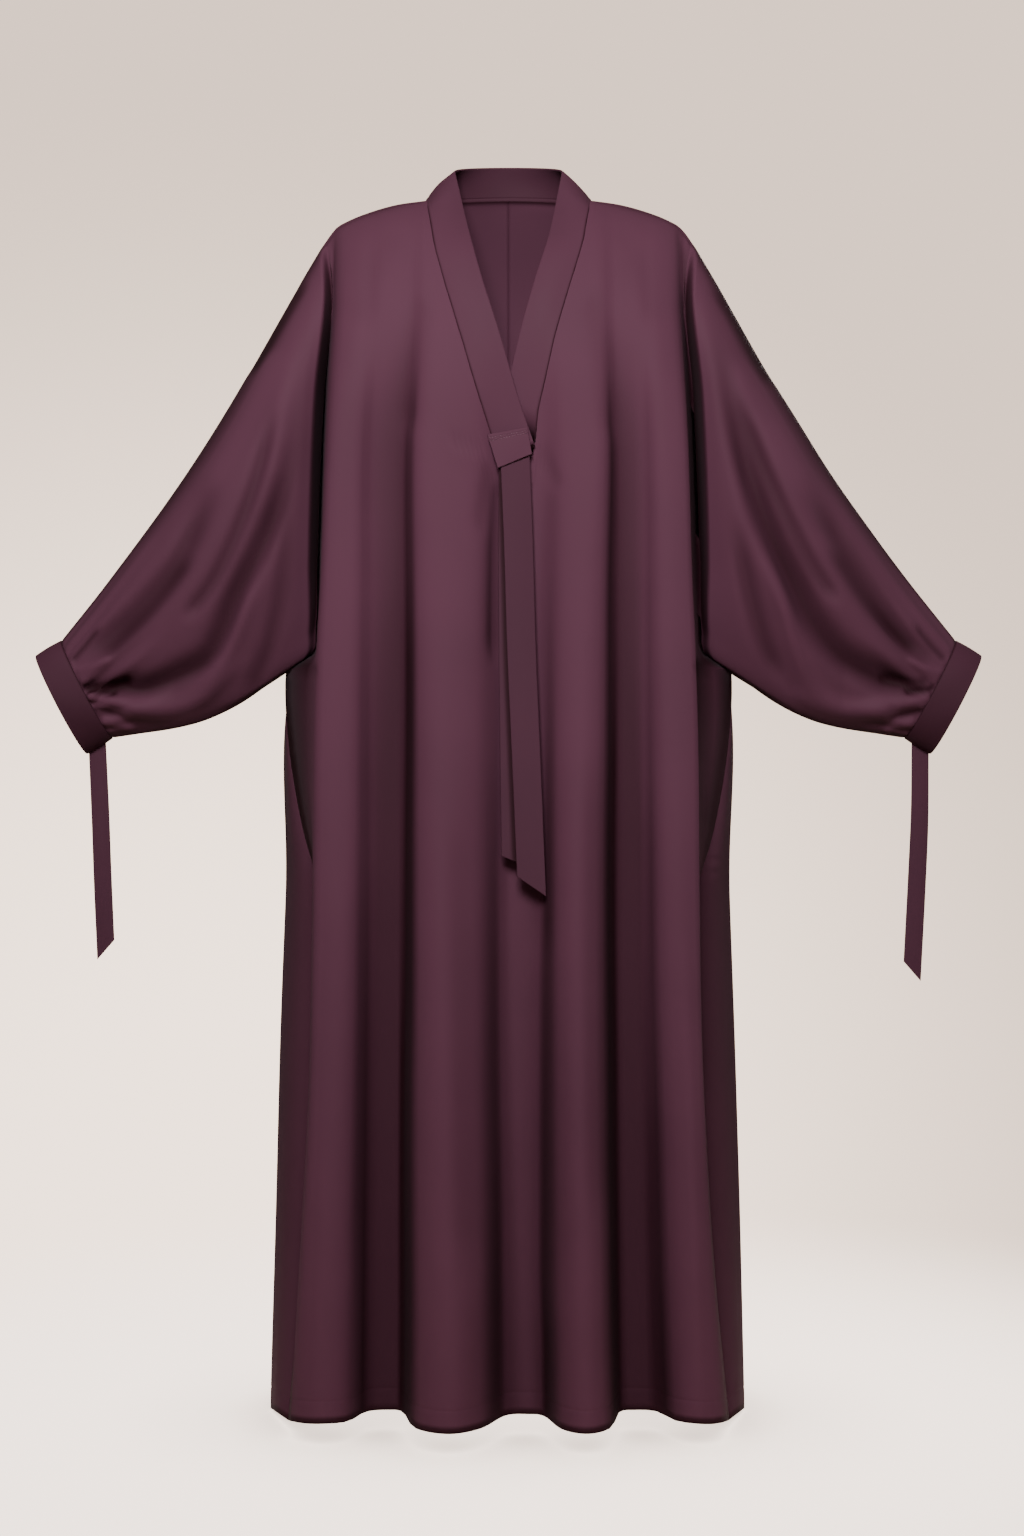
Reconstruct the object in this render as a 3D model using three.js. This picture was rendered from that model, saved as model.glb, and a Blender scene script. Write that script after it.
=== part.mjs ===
import * as THREE from 'three';

// A pullover abaya with dolman sleeves, standing hollow as if worn.
// Millimetres, +Z up, the front faces -Y. The origin is at the high shoulder level on the centre line.

// Driving dimensions
const CLOTH = 2;
const BAND_CLOTH = 2.6;
const TIE_CLOTH = 1.6;
const SEAM_SETBACK = 0.2;
const SHARPEST_SEAM = 0.2;
const LONGEST_CORNER = 2;
const KEY_SHIFT = 0.137;
const NECK_HALF = 95;
const SHOULDER_HALF = 211;
const SHOULDER_DROP = 46;
const UNDERARM_HALF = 258;
const UNDERARM_Z = -548;
const HEM_BACK_Z = -1411;
const FRONT_ROLL = 240;
const BACK_ROLL = 200;
const BACK_NECK_DEPTH = 58;
const BACK_NECK_RISE = 12;
const CUFF_LENGTH = 34;
const CUFF_AXIS = [-0.856, 0, -0.517];
const GATHER_HEIGHT = 3.2;
const UNDERARM_ROUND = 0.4;
const SLEEVE_ROWS = 18;
const UPPER_ROWS = SLEEVE_ROWS / 2;
const LOWER_ROWS = 9;
const FRONT_COLUMNS = 2;
const BACK_COLUMNS = 3;
const CLOTH_COLOUR = 0x5c3a48;

// Fold lines round the body. Each row is one crest, trough or edge, with its x and y at the levels below
// and the height of the hem on it.
const LEVELS = [-140, -300, -450, -560, -815, -1050, -1400];
const FRONT_LINES = [
  { name: 'left edge', hem: -1402,
    x: [-198, -207, -210, -214, -221, -228, -243],
    y: [-60, -80, -88, -94, -96, -100, -110] },
  { name: 'left hollow', hem: -1399,
    x: [-190, -197, -200, -203, -208, -214, -228],
    y: [-84, -90, -92, -92, -94, -100, -117] },
  { name: 'crest 1', hem: -1396,
    x: [-172, -184, -187, -189, -193, -199, -209],
    y: [-98, -103, -106, -108, -114, -120, -130] },
  { name: 'slope 1', hem: -1394,
    x: [-150, -160, -161, -162, -163, -165, -170],
    y: [-102, -99, -98, -97, -96, -96, -97] },
  { name: 'trough 1', hem: -1394,
    x: [-125, -134, -134, -134, -134, -135, -137],
    y: [-106, -94, -89, -85, -78, -72, -63] },
  { name: 'slope 2', hem: -1394,
    x: [-104, -112, -112, -112, -113, -114, -115],
    y: [-109, -104, -102, -100, -100, -100, -104] },
  { name: 'crest 2', hem: -1394,
    x: [-70, -79, -77, -76, -73, -70, -66],
    y: [-111, -118, -123, -128, -142, -156, -171] },
  { name: 'slope 3', hem: -1394,
    x: [-20, -14, -14, -14, -15, -14, -12],
    y: [-111, -108, -107, -106, -108, -110, -112] },
  { name: 'trough 2', hem: -1394,
    x: [6, 8, 8, 8, 8, 12, 22],
    y: [-112, -99, -94, -92, -88, -85, -82] },
  { name: 'slope 4', hem: -1394,
    x: [46, 46, 45, 45, 44, 44, 47],
    y: [-111, -107, -107, -107, -111, -116, -122] },
  { name: 'crest 3', hem: -1394,
    x: [88, 94, 88, 84, 82, 83, 88],
    y: [-110, -117, -122, -128, -142, -156, -170] },
  { name: 'slope 5', hem: -1394,
    x: [112, 116, 115, 115, 114, 115, 121],
    y: [-108, -103, -101, -101, -101, -102, -104] },
  { name: 'trough 3', hem: -1394,
    x: [134, 139, 139, 139, 139, 141, 144],
    y: [-105, -94, -89, -86, -79, -73, -64] },
  { name: 'slope 6', hem: -1394,
    x: [152, 157, 158, 158, 160, 164, 176],
    y: [-102, -98, -97, -97, -96, -95, -88] },
  { name: 'crest 4', hem: -1396,
    x: [170, 177, 181, 184, 189, 199, 210],
    y: [-98, -104, -107, -109, -115, -121, -129] },
  { name: 'right hollow', hem: -1399,
    x: [190, 196, 198, 200, 205, 213, 227],
    y: [-84, -90, -92, -92, -94, -100, -119] },
  { name: 'right edge', hem: -1402,
    x: [198, 205, 207, 210, 216, 225, 240],
    y: [-60, -80, -88, -94, -96, -100, -112] },
];
const BACK_LINES = [
  { name: 'right turn', hem: -1412,
    x: [208, 218, 224, 262, 262, 270, 279],
    y: [60, 74, 72, 22, 22, 18, 2] },
  { name: 'right crest', hem: -1412,
    x: [185, 190, 192, 205, 214, 222, 232],
    y: [92, 98, 98, 96, 104, 112, 128] },
  { name: 'right trough', hem: -1410,
    x: [140, 142, 143, 148, 152, 156, 160],
    y: [104, 100, 94, 88, 82, 76, 66] },
  { name: 'inner right crest', hem: -1412,
    x: [95, 97, 98, 98, 99, 101, 104],
    y: [110, 114, 118, 122, 136, 142, 152] },
  { name: 'inner right trough', hem: -1410,
    x: [50, 50, 48, 46, 44, 42, 40],
    y: [110, 104, 100, 96, 88, 80, 70] },
  { name: 'middle crest', hem: -1412,
    x: [-8, -10, -12, -12, -14, -16, -18],
    y: [112, 115, 119, 124, 138, 142, 153] },
  { name: 'inner left trough', hem: -1410,
    x: [-66, -68, -70, -70, -72, -74, -76],
    y: [110, 104, 98, 94, 86, 78, 66] },
  { name: 'inner left crest', hem: -1412,
    x: [-118, -122, -124, -126, -130, -134, -140],
    y: [107, 110, 113, 118, 132, 138, 150] },
  { name: 'left trough', hem: -1410,
    x: [-158, -162, -164, -170, -176, -182, -190],
    y: [98, 94, 92, 88, 84, 78, 70] },
  { name: 'left crest', hem: -1412,
    x: [-188, -194, -197, -210, -220, -230, -240],
    y: [88, 94, 94, 88, 94, 104, 116] },
  { name: 'left turn', hem: -1412,
    x: [-208, -218, -224, -262, -264, -272, -281],
    y: [60, 74, 72, 22, 22, 18, 2] },
];

// The fold at the armhole, then the side seam: half width, and the depth of the front and of the back cloth.
const SIDE_LINE = {
  z: [-46, -114, -232, -420, -500, -548, -640, -735, -815, -1050, -1412],
  x: [211, 203, 213, 221, 230, 258, 254, 236, 214, 220, 252],
  front: [-30, -36, -38, -40, -34, -8, -15, -34, -38, -45, -62],
  back: [60, 66, 66, 60, 42, -8, -15, -34, -38, -45, -62],
};

// The shoulder seam from the neck to the shoulder point, and the two seams of the V opening.
const SHOULDER_LINE = { x: [95, 130, 162, 187, 202, 211], z: [-1, -6, -15, -25, -34, -46] };
const SHOULDER_COLUMNS = [95, 107, 120, 134, 147, 160, 172, 182, 190, 197, 204];
const BACK_NECK_COLUMNS = [95, 92, 85, 73];
const V_SEAM = {
  x: [-95, -83.5, -68.6, -49.5, -33.5, -23, -11, 27.6, 31.5, 40.6, 51.4, 68.7, 84.5, 95],
  z: [-1, -68, -123, -183, -245.5, -286.5, -322, -307, -262, -224, -174, -115, -61, -1],
};
const V_FOOT_LEFT = -11;
const V_FOOT_RIGHT = 27.6;

// The overarm line runs down from the shoulder point, the underarm line in from the side.
const OVERARM = { t: [0, 0.113, 0.3625, 0.61, 0.859, 1], x: [211, 242, 309, 383, 468, 521] };
const OVERARM_END_Z = -515;
const UNDERARM = { x: [258, 310, 348, 378, 436, 463], z: [-548, -586, -605, -614, -623, -627] };
const SLEEVE_STATIONS = [0, 0.03, 0.075, 0.14, 0.22, 0.32, 0.43, 0.55, 0.67, 0.78, 0.87, 0.94, 1];
const SLEEVE_DEPTH = {
  t: [0, 0.08, 0.3, 0.6, 0.9, 1],
  front: [80, 92, 86, 68, 42, 35],
  back: [84, 94, 88, 70, 42, 35],
};

// Soft folds of the sleeves, drawn on the left one: the line in x and z, half width and inward depth.
const SLEEVE_FOLDS = [
  { name: 'main trough', width: 20, depth: 24,
    x: [-231, -271, -289, -314, -334, -388, -475],
    z: [-133, -212, -310, -409, -487, -543, -558] },
  { name: 'main ridge', width: 15, depth: -9,
    x: [-271, -302, -326, -369, -468],
    z: [-330, -429, -507, -563, -578] },
  { name: 'inner trough', width: 13, depth: 14,
    x: [-251, -274, -309, -372],
    z: [-389, -468, -543, -588] },
  { name: 'upper streak', width: 20, depth: 8,
    x: [-300, -345, -420, -495],
    z: [-330, -413, -478, -523] },
];

// The inner edge of the neck band, against how far down the V the seam is (0 at the neck, 1 at the foot).
const BAND_LEFT = {
  down: [0, 0.21, 0.38, 0.57, 0.76, 1],
  x: [-62, -43.5, -28.5, -10, 9.5, 24.5],
  z: [33, -54, -112, -172, -240, -303],
};
const BAND_RIGHT = {
  down: [0, 0.2, 0.375, 0.57, 0.73, 0.85, 1],
  x: [62, 46, 31, 14, 3, -5, -6],
  z: [33, -52, -104, -165, -212, -246, -285],
};
const BAND_TOP_HALF = 62;
const BAND_TOP_FRONT_Y = 6;
const BAND_TOP_BACK_Y = 50;
const BAND_TOP_SIDE_Z = 33;
const BAND_TOP_BACK_Z = 49;
const BAND_OVER = 4;
const BAND_UNDER = 5;
const BAND_ROLL = 2.5;

// The tab's corners, clockwise from the upper left.
const TAB_CORNERS = [
  { x: -24, y: -112.8, z: -288 },
  { x: 21.5, y: -108.6, z: -278 },
  { x: 26.5, y: -108.6, z: -310 },
  { x: -12, y: -113.7, z: -326 },
];

// Ties: middle line, how far the left edge leans forward of it, width, and the slanting cut at the end.
const TIE_FRONT = {
  z: [-313, -400, -530, -640, -795],
  x: [7.5, 11, 14.8, 19.5, 26],
  y: [-108.6, -107.9, -108.8, -111, -114.5],
  lean: [2.5, 2.4, 1, 0, -1.5],
  width: 32.5, topSlope: 0.42, cut: -22,
};
const TIE_BACK = {
  z: [-313, -400, -530, -640, -768],
  x: [5.5, 5.2, 5.6, 6.8, 8.6],
  y: [-106.2, -105.4, -106, -106.5, -107.5],
  lean: [2.5, 2.4, 1.5, 1, 0.5],
  width: 32.5, topSlope: 0.42, cut: -14,
};
const CUFF_TIE_LEFT = {
  z: [-641.5, -720, -790, -874],
  x: [-479, -475.5, -473, -469.5],
  y: [0, 1, 1, 2],
  lean: [0, 0, 0, 0],
  width: 20, topSlope: 0.5, cut: 23,
};
const CUFF_TIE_RIGHT = {
  z: [-641.5, -720, -790, -899],
  x: [479.5, 479, 476, 470.5],
  y: [0, 1, 1, 2],
  lean: [0, 0, 0, 0],
  width: 20, topSlope: -0.5, cut: -23,
};

const LAST_LINE = { front: FRONT_LINES.length + 1, back: BACK_LINES.length + 1 };

function mix(a, b, t) {
  return a + (b - a) * t;
}

function smooth(from, to, value) {
  const t = Math.min(1, Math.max(0, (value - from) / (to - from)));
  return t * t * (3 - 2 * t);
}

// A smooth curve through the values at the given stations, held level past both ends.
function curve(stations, values, at) {
  const sign = stations[1] > stations[0] ? 1 : -1;
  const last = stations.length - 1;
  if (sign * (at - stations[0]) <= 0) return values[0];
  if (sign * (at - stations[last]) >= 0) return values[last];
  let k = 0;
  while (sign * (at - stations[k + 1]) > 0) k += 1;
  const slope = (i) => (values[i + 1] - values[i]) / (stations[i + 1] - stations[i]);
  const tangent = (i) => {
    if (i === 0) return slope(0);
    if (i === last) return slope(last - 1);
    return (slope(i - 1) + slope(i)) / 2;
  };
  const span = stations[k + 1] - stations[k];
  const t = (at - stations[k]) / span;
  const a = tangent(k) * span;
  const b = tangent(k + 1) * span;
  const rise = values[k + 1] - values[k];
  return values[k] + t * (a + t * (3 * rise - 2 * a - b + t * (a + b - 2 * rise)));
}

function straight(stations, values, at) {
  let k = 0;
  while (k < stations.length - 2 && at > stations[k + 1]) k += 1;
  const t = (at - stations[k]) / (stations[k + 1] - stations[k]);
  return mix(values[k], values[k + 1], Math.min(1, Math.max(0, t)));
}

// How far the cloth has rolled over the shoulder to its full depth, at a given drop below the shoulder.
function roll(drop, reach, power) {
  const share = Math.min(1, Math.max(0, drop / reach));
  return Math.sin((Math.PI / 2) * share ** power);
}

function ridge(x) {
  return straight(SHOULDER_LINE.x, SHOULDER_LINE.z, Math.abs(x));
}

function sidePoint(face, side, z) {
  return { x: side * curve(SIDE_LINE.z, SIDE_LINE.x, z), y: curve(SIDE_LINE.z, SIDE_LINE[face], z) };
}

function linePoint(line, z) {
  return { x: curve(LEVELS, line.x, z), y: curve(LEVELS, line.y, z) };
}

// The control points of one section: the side, every fold line, and the other side. Past the sides come
// the neighbours on the other face below the underarm, and a mirrored point above it.
function sectionPoints(face, z) {
  const front = face === 'front';
  const lines = front ? FRONT_LINES : BACK_LINES;
  const others = front ? BACK_LINES : FRONT_LINES;
  const first = sidePoint(face, front ? -1 : 1, z);
  const last = sidePoint(face, front ? 1 : -1, z);
  const inner = lines.map((line) => linePoint(line, z));
  const below = smooth(UNDERARM_Z + 40, UNDERARM_Z - 60, z);
  const beyond = (end, next, other) => ({
    x: mix(2 * end.x - next.x, other.x, below),
    y: mix(next.y, other.y, below),
  });
  const before = beyond(first, inner[0], linePoint(others[others.length - 1], z));
  const after = beyond(last, inner[inner.length - 1], linePoint(others[0], z));
  return [before, first, ...inner, last, after];
}

function catmull(a, b, c, d, t) {
  const p = 2 * b;
  const q = c - a;
  const r = 2 * a - 5 * b + 4 * c - d;
  const s = 3 * b - a - 3 * c + d;
  return (p + t * (q + t * (r + t * s))) / 2;
}

// A point of the body cloth: u counts fold lines from the side where the face starts.
function bodyPoint(face, u, z) {
  const points = sectionPoints(face, z);
  const k = Math.min(Math.floor(u), points.length - 4);
  const t = u - k;
  const [a, b, c, d] = points.slice(k, k + 4);
  const x = catmull(a.x, b.x, c.x, d.x, t);
  const depth = catmull(a.y, b.y, c.y, d.y, t);
  const inside = smooth(NECK_HALF, NECK_HALF * 0.6, Math.abs(x));
  if (face === 'front') {
    return new THREE.Vector3(x, depth * roll(ridge(x) - z, FRONT_ROLL, 0.7), z);
  }
  const oval = Math.sqrt(Math.max(0, 1 - (x / NECK_HALF) ** 2));
  const top = BACK_NECK_DEPTH * oval;
  const rise = ridge(x) + BACK_NECK_RISE * oval * oval;
  const share = roll(rise - z, BACK_ROLL, mix(0.7, 1, inside));
  return new THREE.Vector3(x, mix(top, depth, share), z);
}

function topOf(face, x) {
  if (Math.abs(x) >= NECK_HALF) return ridge(x);
  if (face === 'front') return straight(V_SEAM.x, V_SEAM.z, x);
  return ridge(x) + BACK_NECK_RISE * (1 - (x / NECK_HALF) ** 2);
}

function hemOf(face, u) {
  const lines = face === 'front' ? FRONT_LINES : BACK_LINES;
  const hems = [HEM_BACK_Z, ...lines.map((line) => line.hem), HEM_BACK_Z];
  return curve(hems.map((hem, k) => k), hems, u);
}

// Where a face's section crosses a given x at the shoulder.
function columnAt(face, x) {
  const rising = face === 'front' ? 1 : -1;
  let low = 0;
  let high = LAST_LINE[face];
  for (let step = 0; step < 40; step += 1) {
    const middle = (low + high) / 2;
    if (rising * (bodyPoint(face, middle, -SHOULDER_DROP).x - x) < 0) low = middle;
    else high = middle;
  }
  return (low + high) / 2;
}

// The columns of a face: set places along each shoulder, which both faces share, then even ones between.
// Each column has its place u in the section and the x of its top.
function columnList(face, sides, neckPlaces) {
  const columns = [];
  for (const side of sides) {
    const u = (face === 'front') === (side < 0) ? 0 : LAST_LINE[face];
    columns.push({ u, top: side * SHOULDER_HALF });
    for (const x of SHOULDER_COLUMNS) columns.push({ u: columnAt(face, side * x), top: side * x });
  }
  const places = neckPlaces.map((x) => ({ u: columnAt(face, x), top: x }));
  for (let k = 0; k < places.length - 1; k += 1) {
    const span = places[k + 1].u - places[k].u;
    const dense = face === 'front' ? FRONT_COLUMNS : BACK_COLUMNS;
    const count = Math.max(1, Math.round(Math.abs(span) * dense));
    for (let step = 0; step < count; step += 1) {
      const u = places[k].u + (span * step) / count;
      const top = step === 0 ? places[k].top : bodyPoint(face, u, -SHOULDER_DROP).x;
      if (Math.abs(top) < NECK_HALF) columns.push({ u, top });
    }
  }
  const last = places[places.length - 1];
  if (Math.abs(last.top) < NECK_HALF) columns.push(last);
  return columns.sort((a, b) => a.u - b.u);
}

function rowShare(row, rows) {
  return (1 - Math.cos((Math.PI * row) / rows)) / 2;
}

// One column of body points, from its top edge down to the hem.
function bodyColumn(face, column, upperRows) {
  const { u } = column;
  const top = topOf(face, column.top);
  const hem = hemOf(face, u);
  const points = [];
  for (let row = 0; row <= upperRows; row += 1) {
    points.push(bodyPoint(face, u, mix(top, UNDERARM_Z, rowShare(row, upperRows))));
  }
  if (Math.abs(column.top) >= NECK_HALF) points[0].set(column.top, 0, top);
  for (let row = 1; row <= LOWER_ROWS; row += 1) {
    points.push(bodyPoint(face, u, mix(UNDERARM_Z, hem, row / LOWER_ROWS)));
  }
  return points;
}

function foldDepth(fold, x, z) {
  let nearest = Infinity;
  let share = 0;
  for (let k = 0; k < fold.x.length - 1; k += 1) {
    const dx = fold.x[k + 1] - fold.x[k];
    const dz = fold.z[k + 1] - fold.z[k];
    const along = ((x - fold.x[k]) * dx + (z - fold.z[k]) * dz) / (dx * dx + dz * dz);
    const t = Math.min(1, Math.max(0, along));
    const gap = Math.hypot(x - fold.x[k] - t * dx, z - fold.z[k] - t * dz);
    if (gap < nearest) {
      nearest = gap;
      share = (k + t) / (fold.x.length - 1);
    }
  }
  const ends = smooth(0, 0.2, share) * smooth(1, 0.8, share);
  return fold.depth * ends * Math.exp(-((nearest / fold.width) ** 2));
}

// A point of a sleeve: t runs from the armhole to the cuff seam, row from the overarm to the underarm.
function sleevePoint(face, side, t, row) {
  const share = rowShare(row, SLEEVE_ROWS);
  const overX = curve(OVERARM.t, OVERARM.x, t);
  const overZ = mix(-SHOULDER_DROP, OVERARM_END_Z, t);
  const underX = mix(UNDERARM_HALF, UNDERARM.x[UNDERARM.x.length - 1], t);
  const underZ = curve(UNDERARM.x, UNDERARM.z, underX);
  const armholeZ = mix(-SHOULDER_DROP, UNDERARM_Z, share);
  const armhole = bodyPoint(face, face === 'front' ? 0 : LAST_LINE.back, armholeZ);
  const off = Math.abs(armhole.x) - mix(SHOULDER_HALF, UNDERARM_HALF, share);
  const x = -(mix(overX, underX, share) + off * (1 - t) ** 3);
  const z = mix(overZ, underZ, share);
  const out = face === 'front' ? -1 : 1;
  const hanging = Math.sin(Math.PI * share ** 0.62);
  const round = 2 * Math.sqrt(share * (1 - share));
  const girth = mix(hanging, round, Math.max(UNDERARM_ROUND, smooth(0.35, 1, t)));
  let depth = curve(SLEEVE_DEPTH.t, SLEEVE_DEPTH[face], t) * girth;
  const clear = smooth(0.05, 0.2, t) * smooth(1, 0.93, t) * girth;
  const folds = SLEEVE_FOLDS.reduce((sum, fold) => sum + foldDepth(fold, x, z), 0);
  depth -= folds * clear * (face === 'front' ? 1 : 0.7);
  const gathered = smooth(0.72, 0.92, t) * smooth(1, 0.96, t);
  depth += GATHER_HEIGHT * gathered * round * Math.cos(Math.PI * row);
  const seamY = mix(0, bodyPoint('front', 0, UNDERARM_Z).y, share) * (1 - t);
  const y = mix(armhole.y, seamY + out * depth, smooth(0, 0.09, t));
  return new THREE.Vector3(-side * x, y, z);
}

// A sheet is a list of points and triangles. The triangles wind so that they face outwards.
class Sheet {
  constructor(name) {
    this.name = name;
    this.points = [];
    this.faces = [];
    this.index = new Map();
  }

  point(p) {
    const key = keyOf(p);
    if (!this.index.has(key)) {
      this.index.set(key, this.points.length);
      this.points.push(p.clone());
    }
    return this.index.get(key);
  }

  face(a, b, c) {
    if (a !== b && b !== c && c !== a) this.faces.push([a, b, c]);
  }

  // Joins two neighbouring lines of points, which may differ in number when their ends match.
  strip(left, right, rightFirst = false) {
    let i = 0;
    let j = 0;
    while (i < left.length - 1 || j < right.length - 1) {
      const nextLeft = (i + 1) / (left.length - 1);
      const nextRight = (j + 1) / (right.length - 1);
      const a = this.point(left[i]);
      const b = this.point(right[j]);
      const lead = rightFirst ? nextLeft < nextRight : nextLeft <= nextRight;
      if (j === right.length - 1 || (i < left.length - 1 && lead)) {
        i += 1;
        this.face(a, this.point(left[i]), b);
      } else {
        j += 1;
        this.face(a, this.point(right[j]), b);
      }
    }
  }
}

// Points closer than a hundredth are one. The shift keeps round values off the rounding step.
function keyOf(p) {
  return [p.x, p.y, p.z].map((value) => Math.round(value * 100 + KEY_SHIFT)).join(',');
}

function faceNormal(sheet, [a, b, c]) {
  const edge = sheet.points[b].clone().sub(sheet.points[a]);
  return edge.cross(sheet.points[c].clone().sub(sheet.points[a]));
}

// Sheets that meet at a seam share the normal there, so their edges stand face to face. Each face counts
// by its angle at the corner.
function sharedNormals(sheets) {
  const sums = new Map();
  for (const sheet of sheets) {
    for (const face of sheet.faces) {
      const normal = faceNormal(sheet, face).normalize();
      face.forEach((corner, k) => {
        const point = sheet.points[corner];
        const one = sheet.points[face[(k + 1) % 3]].clone().sub(point);
        const two = sheet.points[face[(k + 2) % 3]].clone().sub(point);
        const key = keyOf(point);
        if (!sums.has(key)) sums.set(key, new THREE.Vector3());
        sums.get(key).addScaledVector(normal, one.angleTo(two));
      });
    }
  }
  for (const sum of sums.values()) sum.normalize();
  return sums;
}

function openEdges(sheet) {
  const seen = new Map();
  for (const [a, b, c] of sheet.faces) {
    for (const [from, to] of [[a, b], [b, c], [c, a]]) {
      seen.set(`${from},${to}`, [from, to, a, b, c]);
    }
  }
  return [...seen.values()].filter(([from, to]) => !seen.has(`${to},${from}`));
}

// Settles which way the edge between two points is cut into triangles, the same for both sheets at a seam.
function comesBefore(p, q) {
  return Math.abs(p.x) - Math.abs(q.x) || p.z - q.z || p.y - q.y;
}

// Gives a sheet its thickness. Its open edges are drawn back a little from the seams.
function wall(sheet, normals, thickness) {
  const edges = openEdges(sheet);
  const inward = new Map();
  for (const [from, to, ...face] of edges) {
    const along = sheet.points[to].clone().sub(sheet.points[from]);
    const into = faceNormal(sheet, face).cross(along).normalize();
    for (const corner of [from, to]) {
      if (!inward.has(corner)) inward.set(corner, new THREE.Vector3());
      inward.get(corner).add(into);
    }
  }
  const count = sheet.points.length;
  const positions = new Float32Array(count * 6);
  sheet.points.forEach((point, k) => {
    const normal = normals.get(keyOf(point));
    const middle = point.clone();
    if (inward.has(k)) {
      const corner = Math.min(LONGEST_CORNER, 2 / inward.get(k).length());
      const into = inward.get(k).normalize();
      const flatness = Math.max(SHARPEST_SEAM, into.clone().cross(normal).length());
      middle.addScaledVector(into, (SEAM_SETBACK * corner) / flatness);
    }
    middle.clone().addScaledVector(normal, thickness / 2).toArray(positions, k * 3);
    middle.clone().addScaledVector(normal, -thickness / 2).toArray(positions, (k + count) * 3);
  });
  const index = [];
  for (const [a, b, c] of sheet.faces) index.push(a, b, c, a + count, c + count, b + count);
  for (const [from, to] of edges) {
    const forward = comesBefore(sheet.points[from], sheet.points[to]) < 0;
    if (forward) index.push(from, from + count, to + count, from, to + count, to);
    else index.push(from, from + count, to, from + count, to + count, to);
  }
  const geometry = new THREE.BufferGeometry();
  geometry.setAttribute('position', new THREE.BufferAttribute(positions, 3));
  geometry.setIndex(index);
  geometry.computeVertexNormals();
  return geometry;
}

// The body part of a face, from one column to the next. Its first and last columns carry the sleeve's rows.
function addBody(sheet, face, columns) {
  const atSide = (column) => Math.abs(column.top) === SHOULDER_HALF;
  const rowsOf = (column) => (atSide(column) ? SLEEVE_ROWS : UPPER_ROWS);
  const lines = columns.map((column) => bodyColumn(face, column, rowsOf(column)));
  for (let k = 0; k < lines.length - 1; k += 1) {
    const leftUpper = lines[k].slice(0, lines[k].length - LOWER_ROWS);
    const rightUpper = lines[k + 1].slice(0, lines[k + 1].length - LOWER_ROWS);
    sheet.strip(leftUpper, rightUpper);
    sheet.strip(lines[k].slice(-LOWER_ROWS - 1), lines[k + 1].slice(-LOWER_ROWS - 1));
  }
  return lines.map((line) => line[0]);
}

function sleeveColumn(face, side, t) {
  const points = [];
  for (let row = 0; row <= SLEEVE_ROWS; row += 1) points.push(sleevePoint(face, side, t, row));
  return points;
}

// Sleeve columns run outwards, so the ones that start a face are joined in reverse.
function addSleeve(sheet, face, side) {
  const columns = SLEEVE_STATIONS.map((t) => sleeveColumn(face, side, t));
  const leftHand = (face === 'front') === (side < 0);
  for (let k = 0; k < columns.length - 1; k += 1) {
    if (leftHand) sheet.strip(columns[k + 1], columns[k]);
    else sheet.strip(columns[k], columns[k + 1], true);
  }
  return columns[columns.length - 1];
}

function frontPanel() {
  const sheet = new Sheet('front_panel');
  const columns = columnList('front', [-1, 1], [-NECK_HALF, V_FOOT_LEFT, V_FOOT_RIGHT, NECK_HALF]);
  const top = addBody(sheet, 'front', columns);
  const cuffs = { left: addSleeve(sheet, 'front', -1), right: addSleeve(sheet, 'front', 1) };
  return { sheet, top, cuffs };
}

function backHalf(name, side) {
  const sheet = new Sheet(name);
  const columns = columnList('back', [side], [...BACK_NECK_COLUMNS.map((x) => side * x), 0]);
  const top = addBody(sheet, 'back', columns);
  return { sheet, top, cuff: addSleeve(sheet, 'back', side) };
}

// The depth of the front cloth at a place on it.
function frontDepth(x, z) {
  let low = 0;
  let high = LAST_LINE.front;
  for (let step = 0; step < 40; step += 1) {
    const middle = (low + high) / 2;
    if (bodyPoint('front', middle, z).x < x) low = middle;
    else high = middle;
  }
  return bodyPoint('front', low, z).y;
}

// The inner edge of the band, opposite a point of its seam.
function bandEdge(seam, part) {
  if (part === 'back') {
    const oval = Math.sqrt(Math.max(0, 1 - (seam.x / NECK_HALF) ** 2));
    return new THREE.Vector3(
      (seam.x * BAND_TOP_HALF) / NECK_HALF,
      mix(BAND_TOP_FRONT_Y, BAND_TOP_BACK_Y, oval),
      mix(BAND_TOP_SIDE_Z, BAND_TOP_BACK_Z, oval * oval),
    );
  }
  const table = part === 'left' ? BAND_LEFT : BAND_RIGHT;
  const foot = part === 'left' ? V_FOOT_LEFT : V_FOOT_RIGHT;
  const down = (seam.z - topOf('front', NECK_HALF)) / (topOf('front', foot) - topOf('front', NECK_HALF));
  const x = curve(table.down, table.x, down);
  const z = curve(table.down, table.z, down);
  const ahead = part === 'left' ? BAND_OVER : -BAND_UNDER * smooth(0.3, 0.8, down);
  const lying = frontDepth(x, Math.min(z, -30)) - ahead;
  return new THREE.Vector3(x, mix(BAND_TOP_FRONT_Y, lying, smooth(0, 0.25, down)), z);
}

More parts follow.
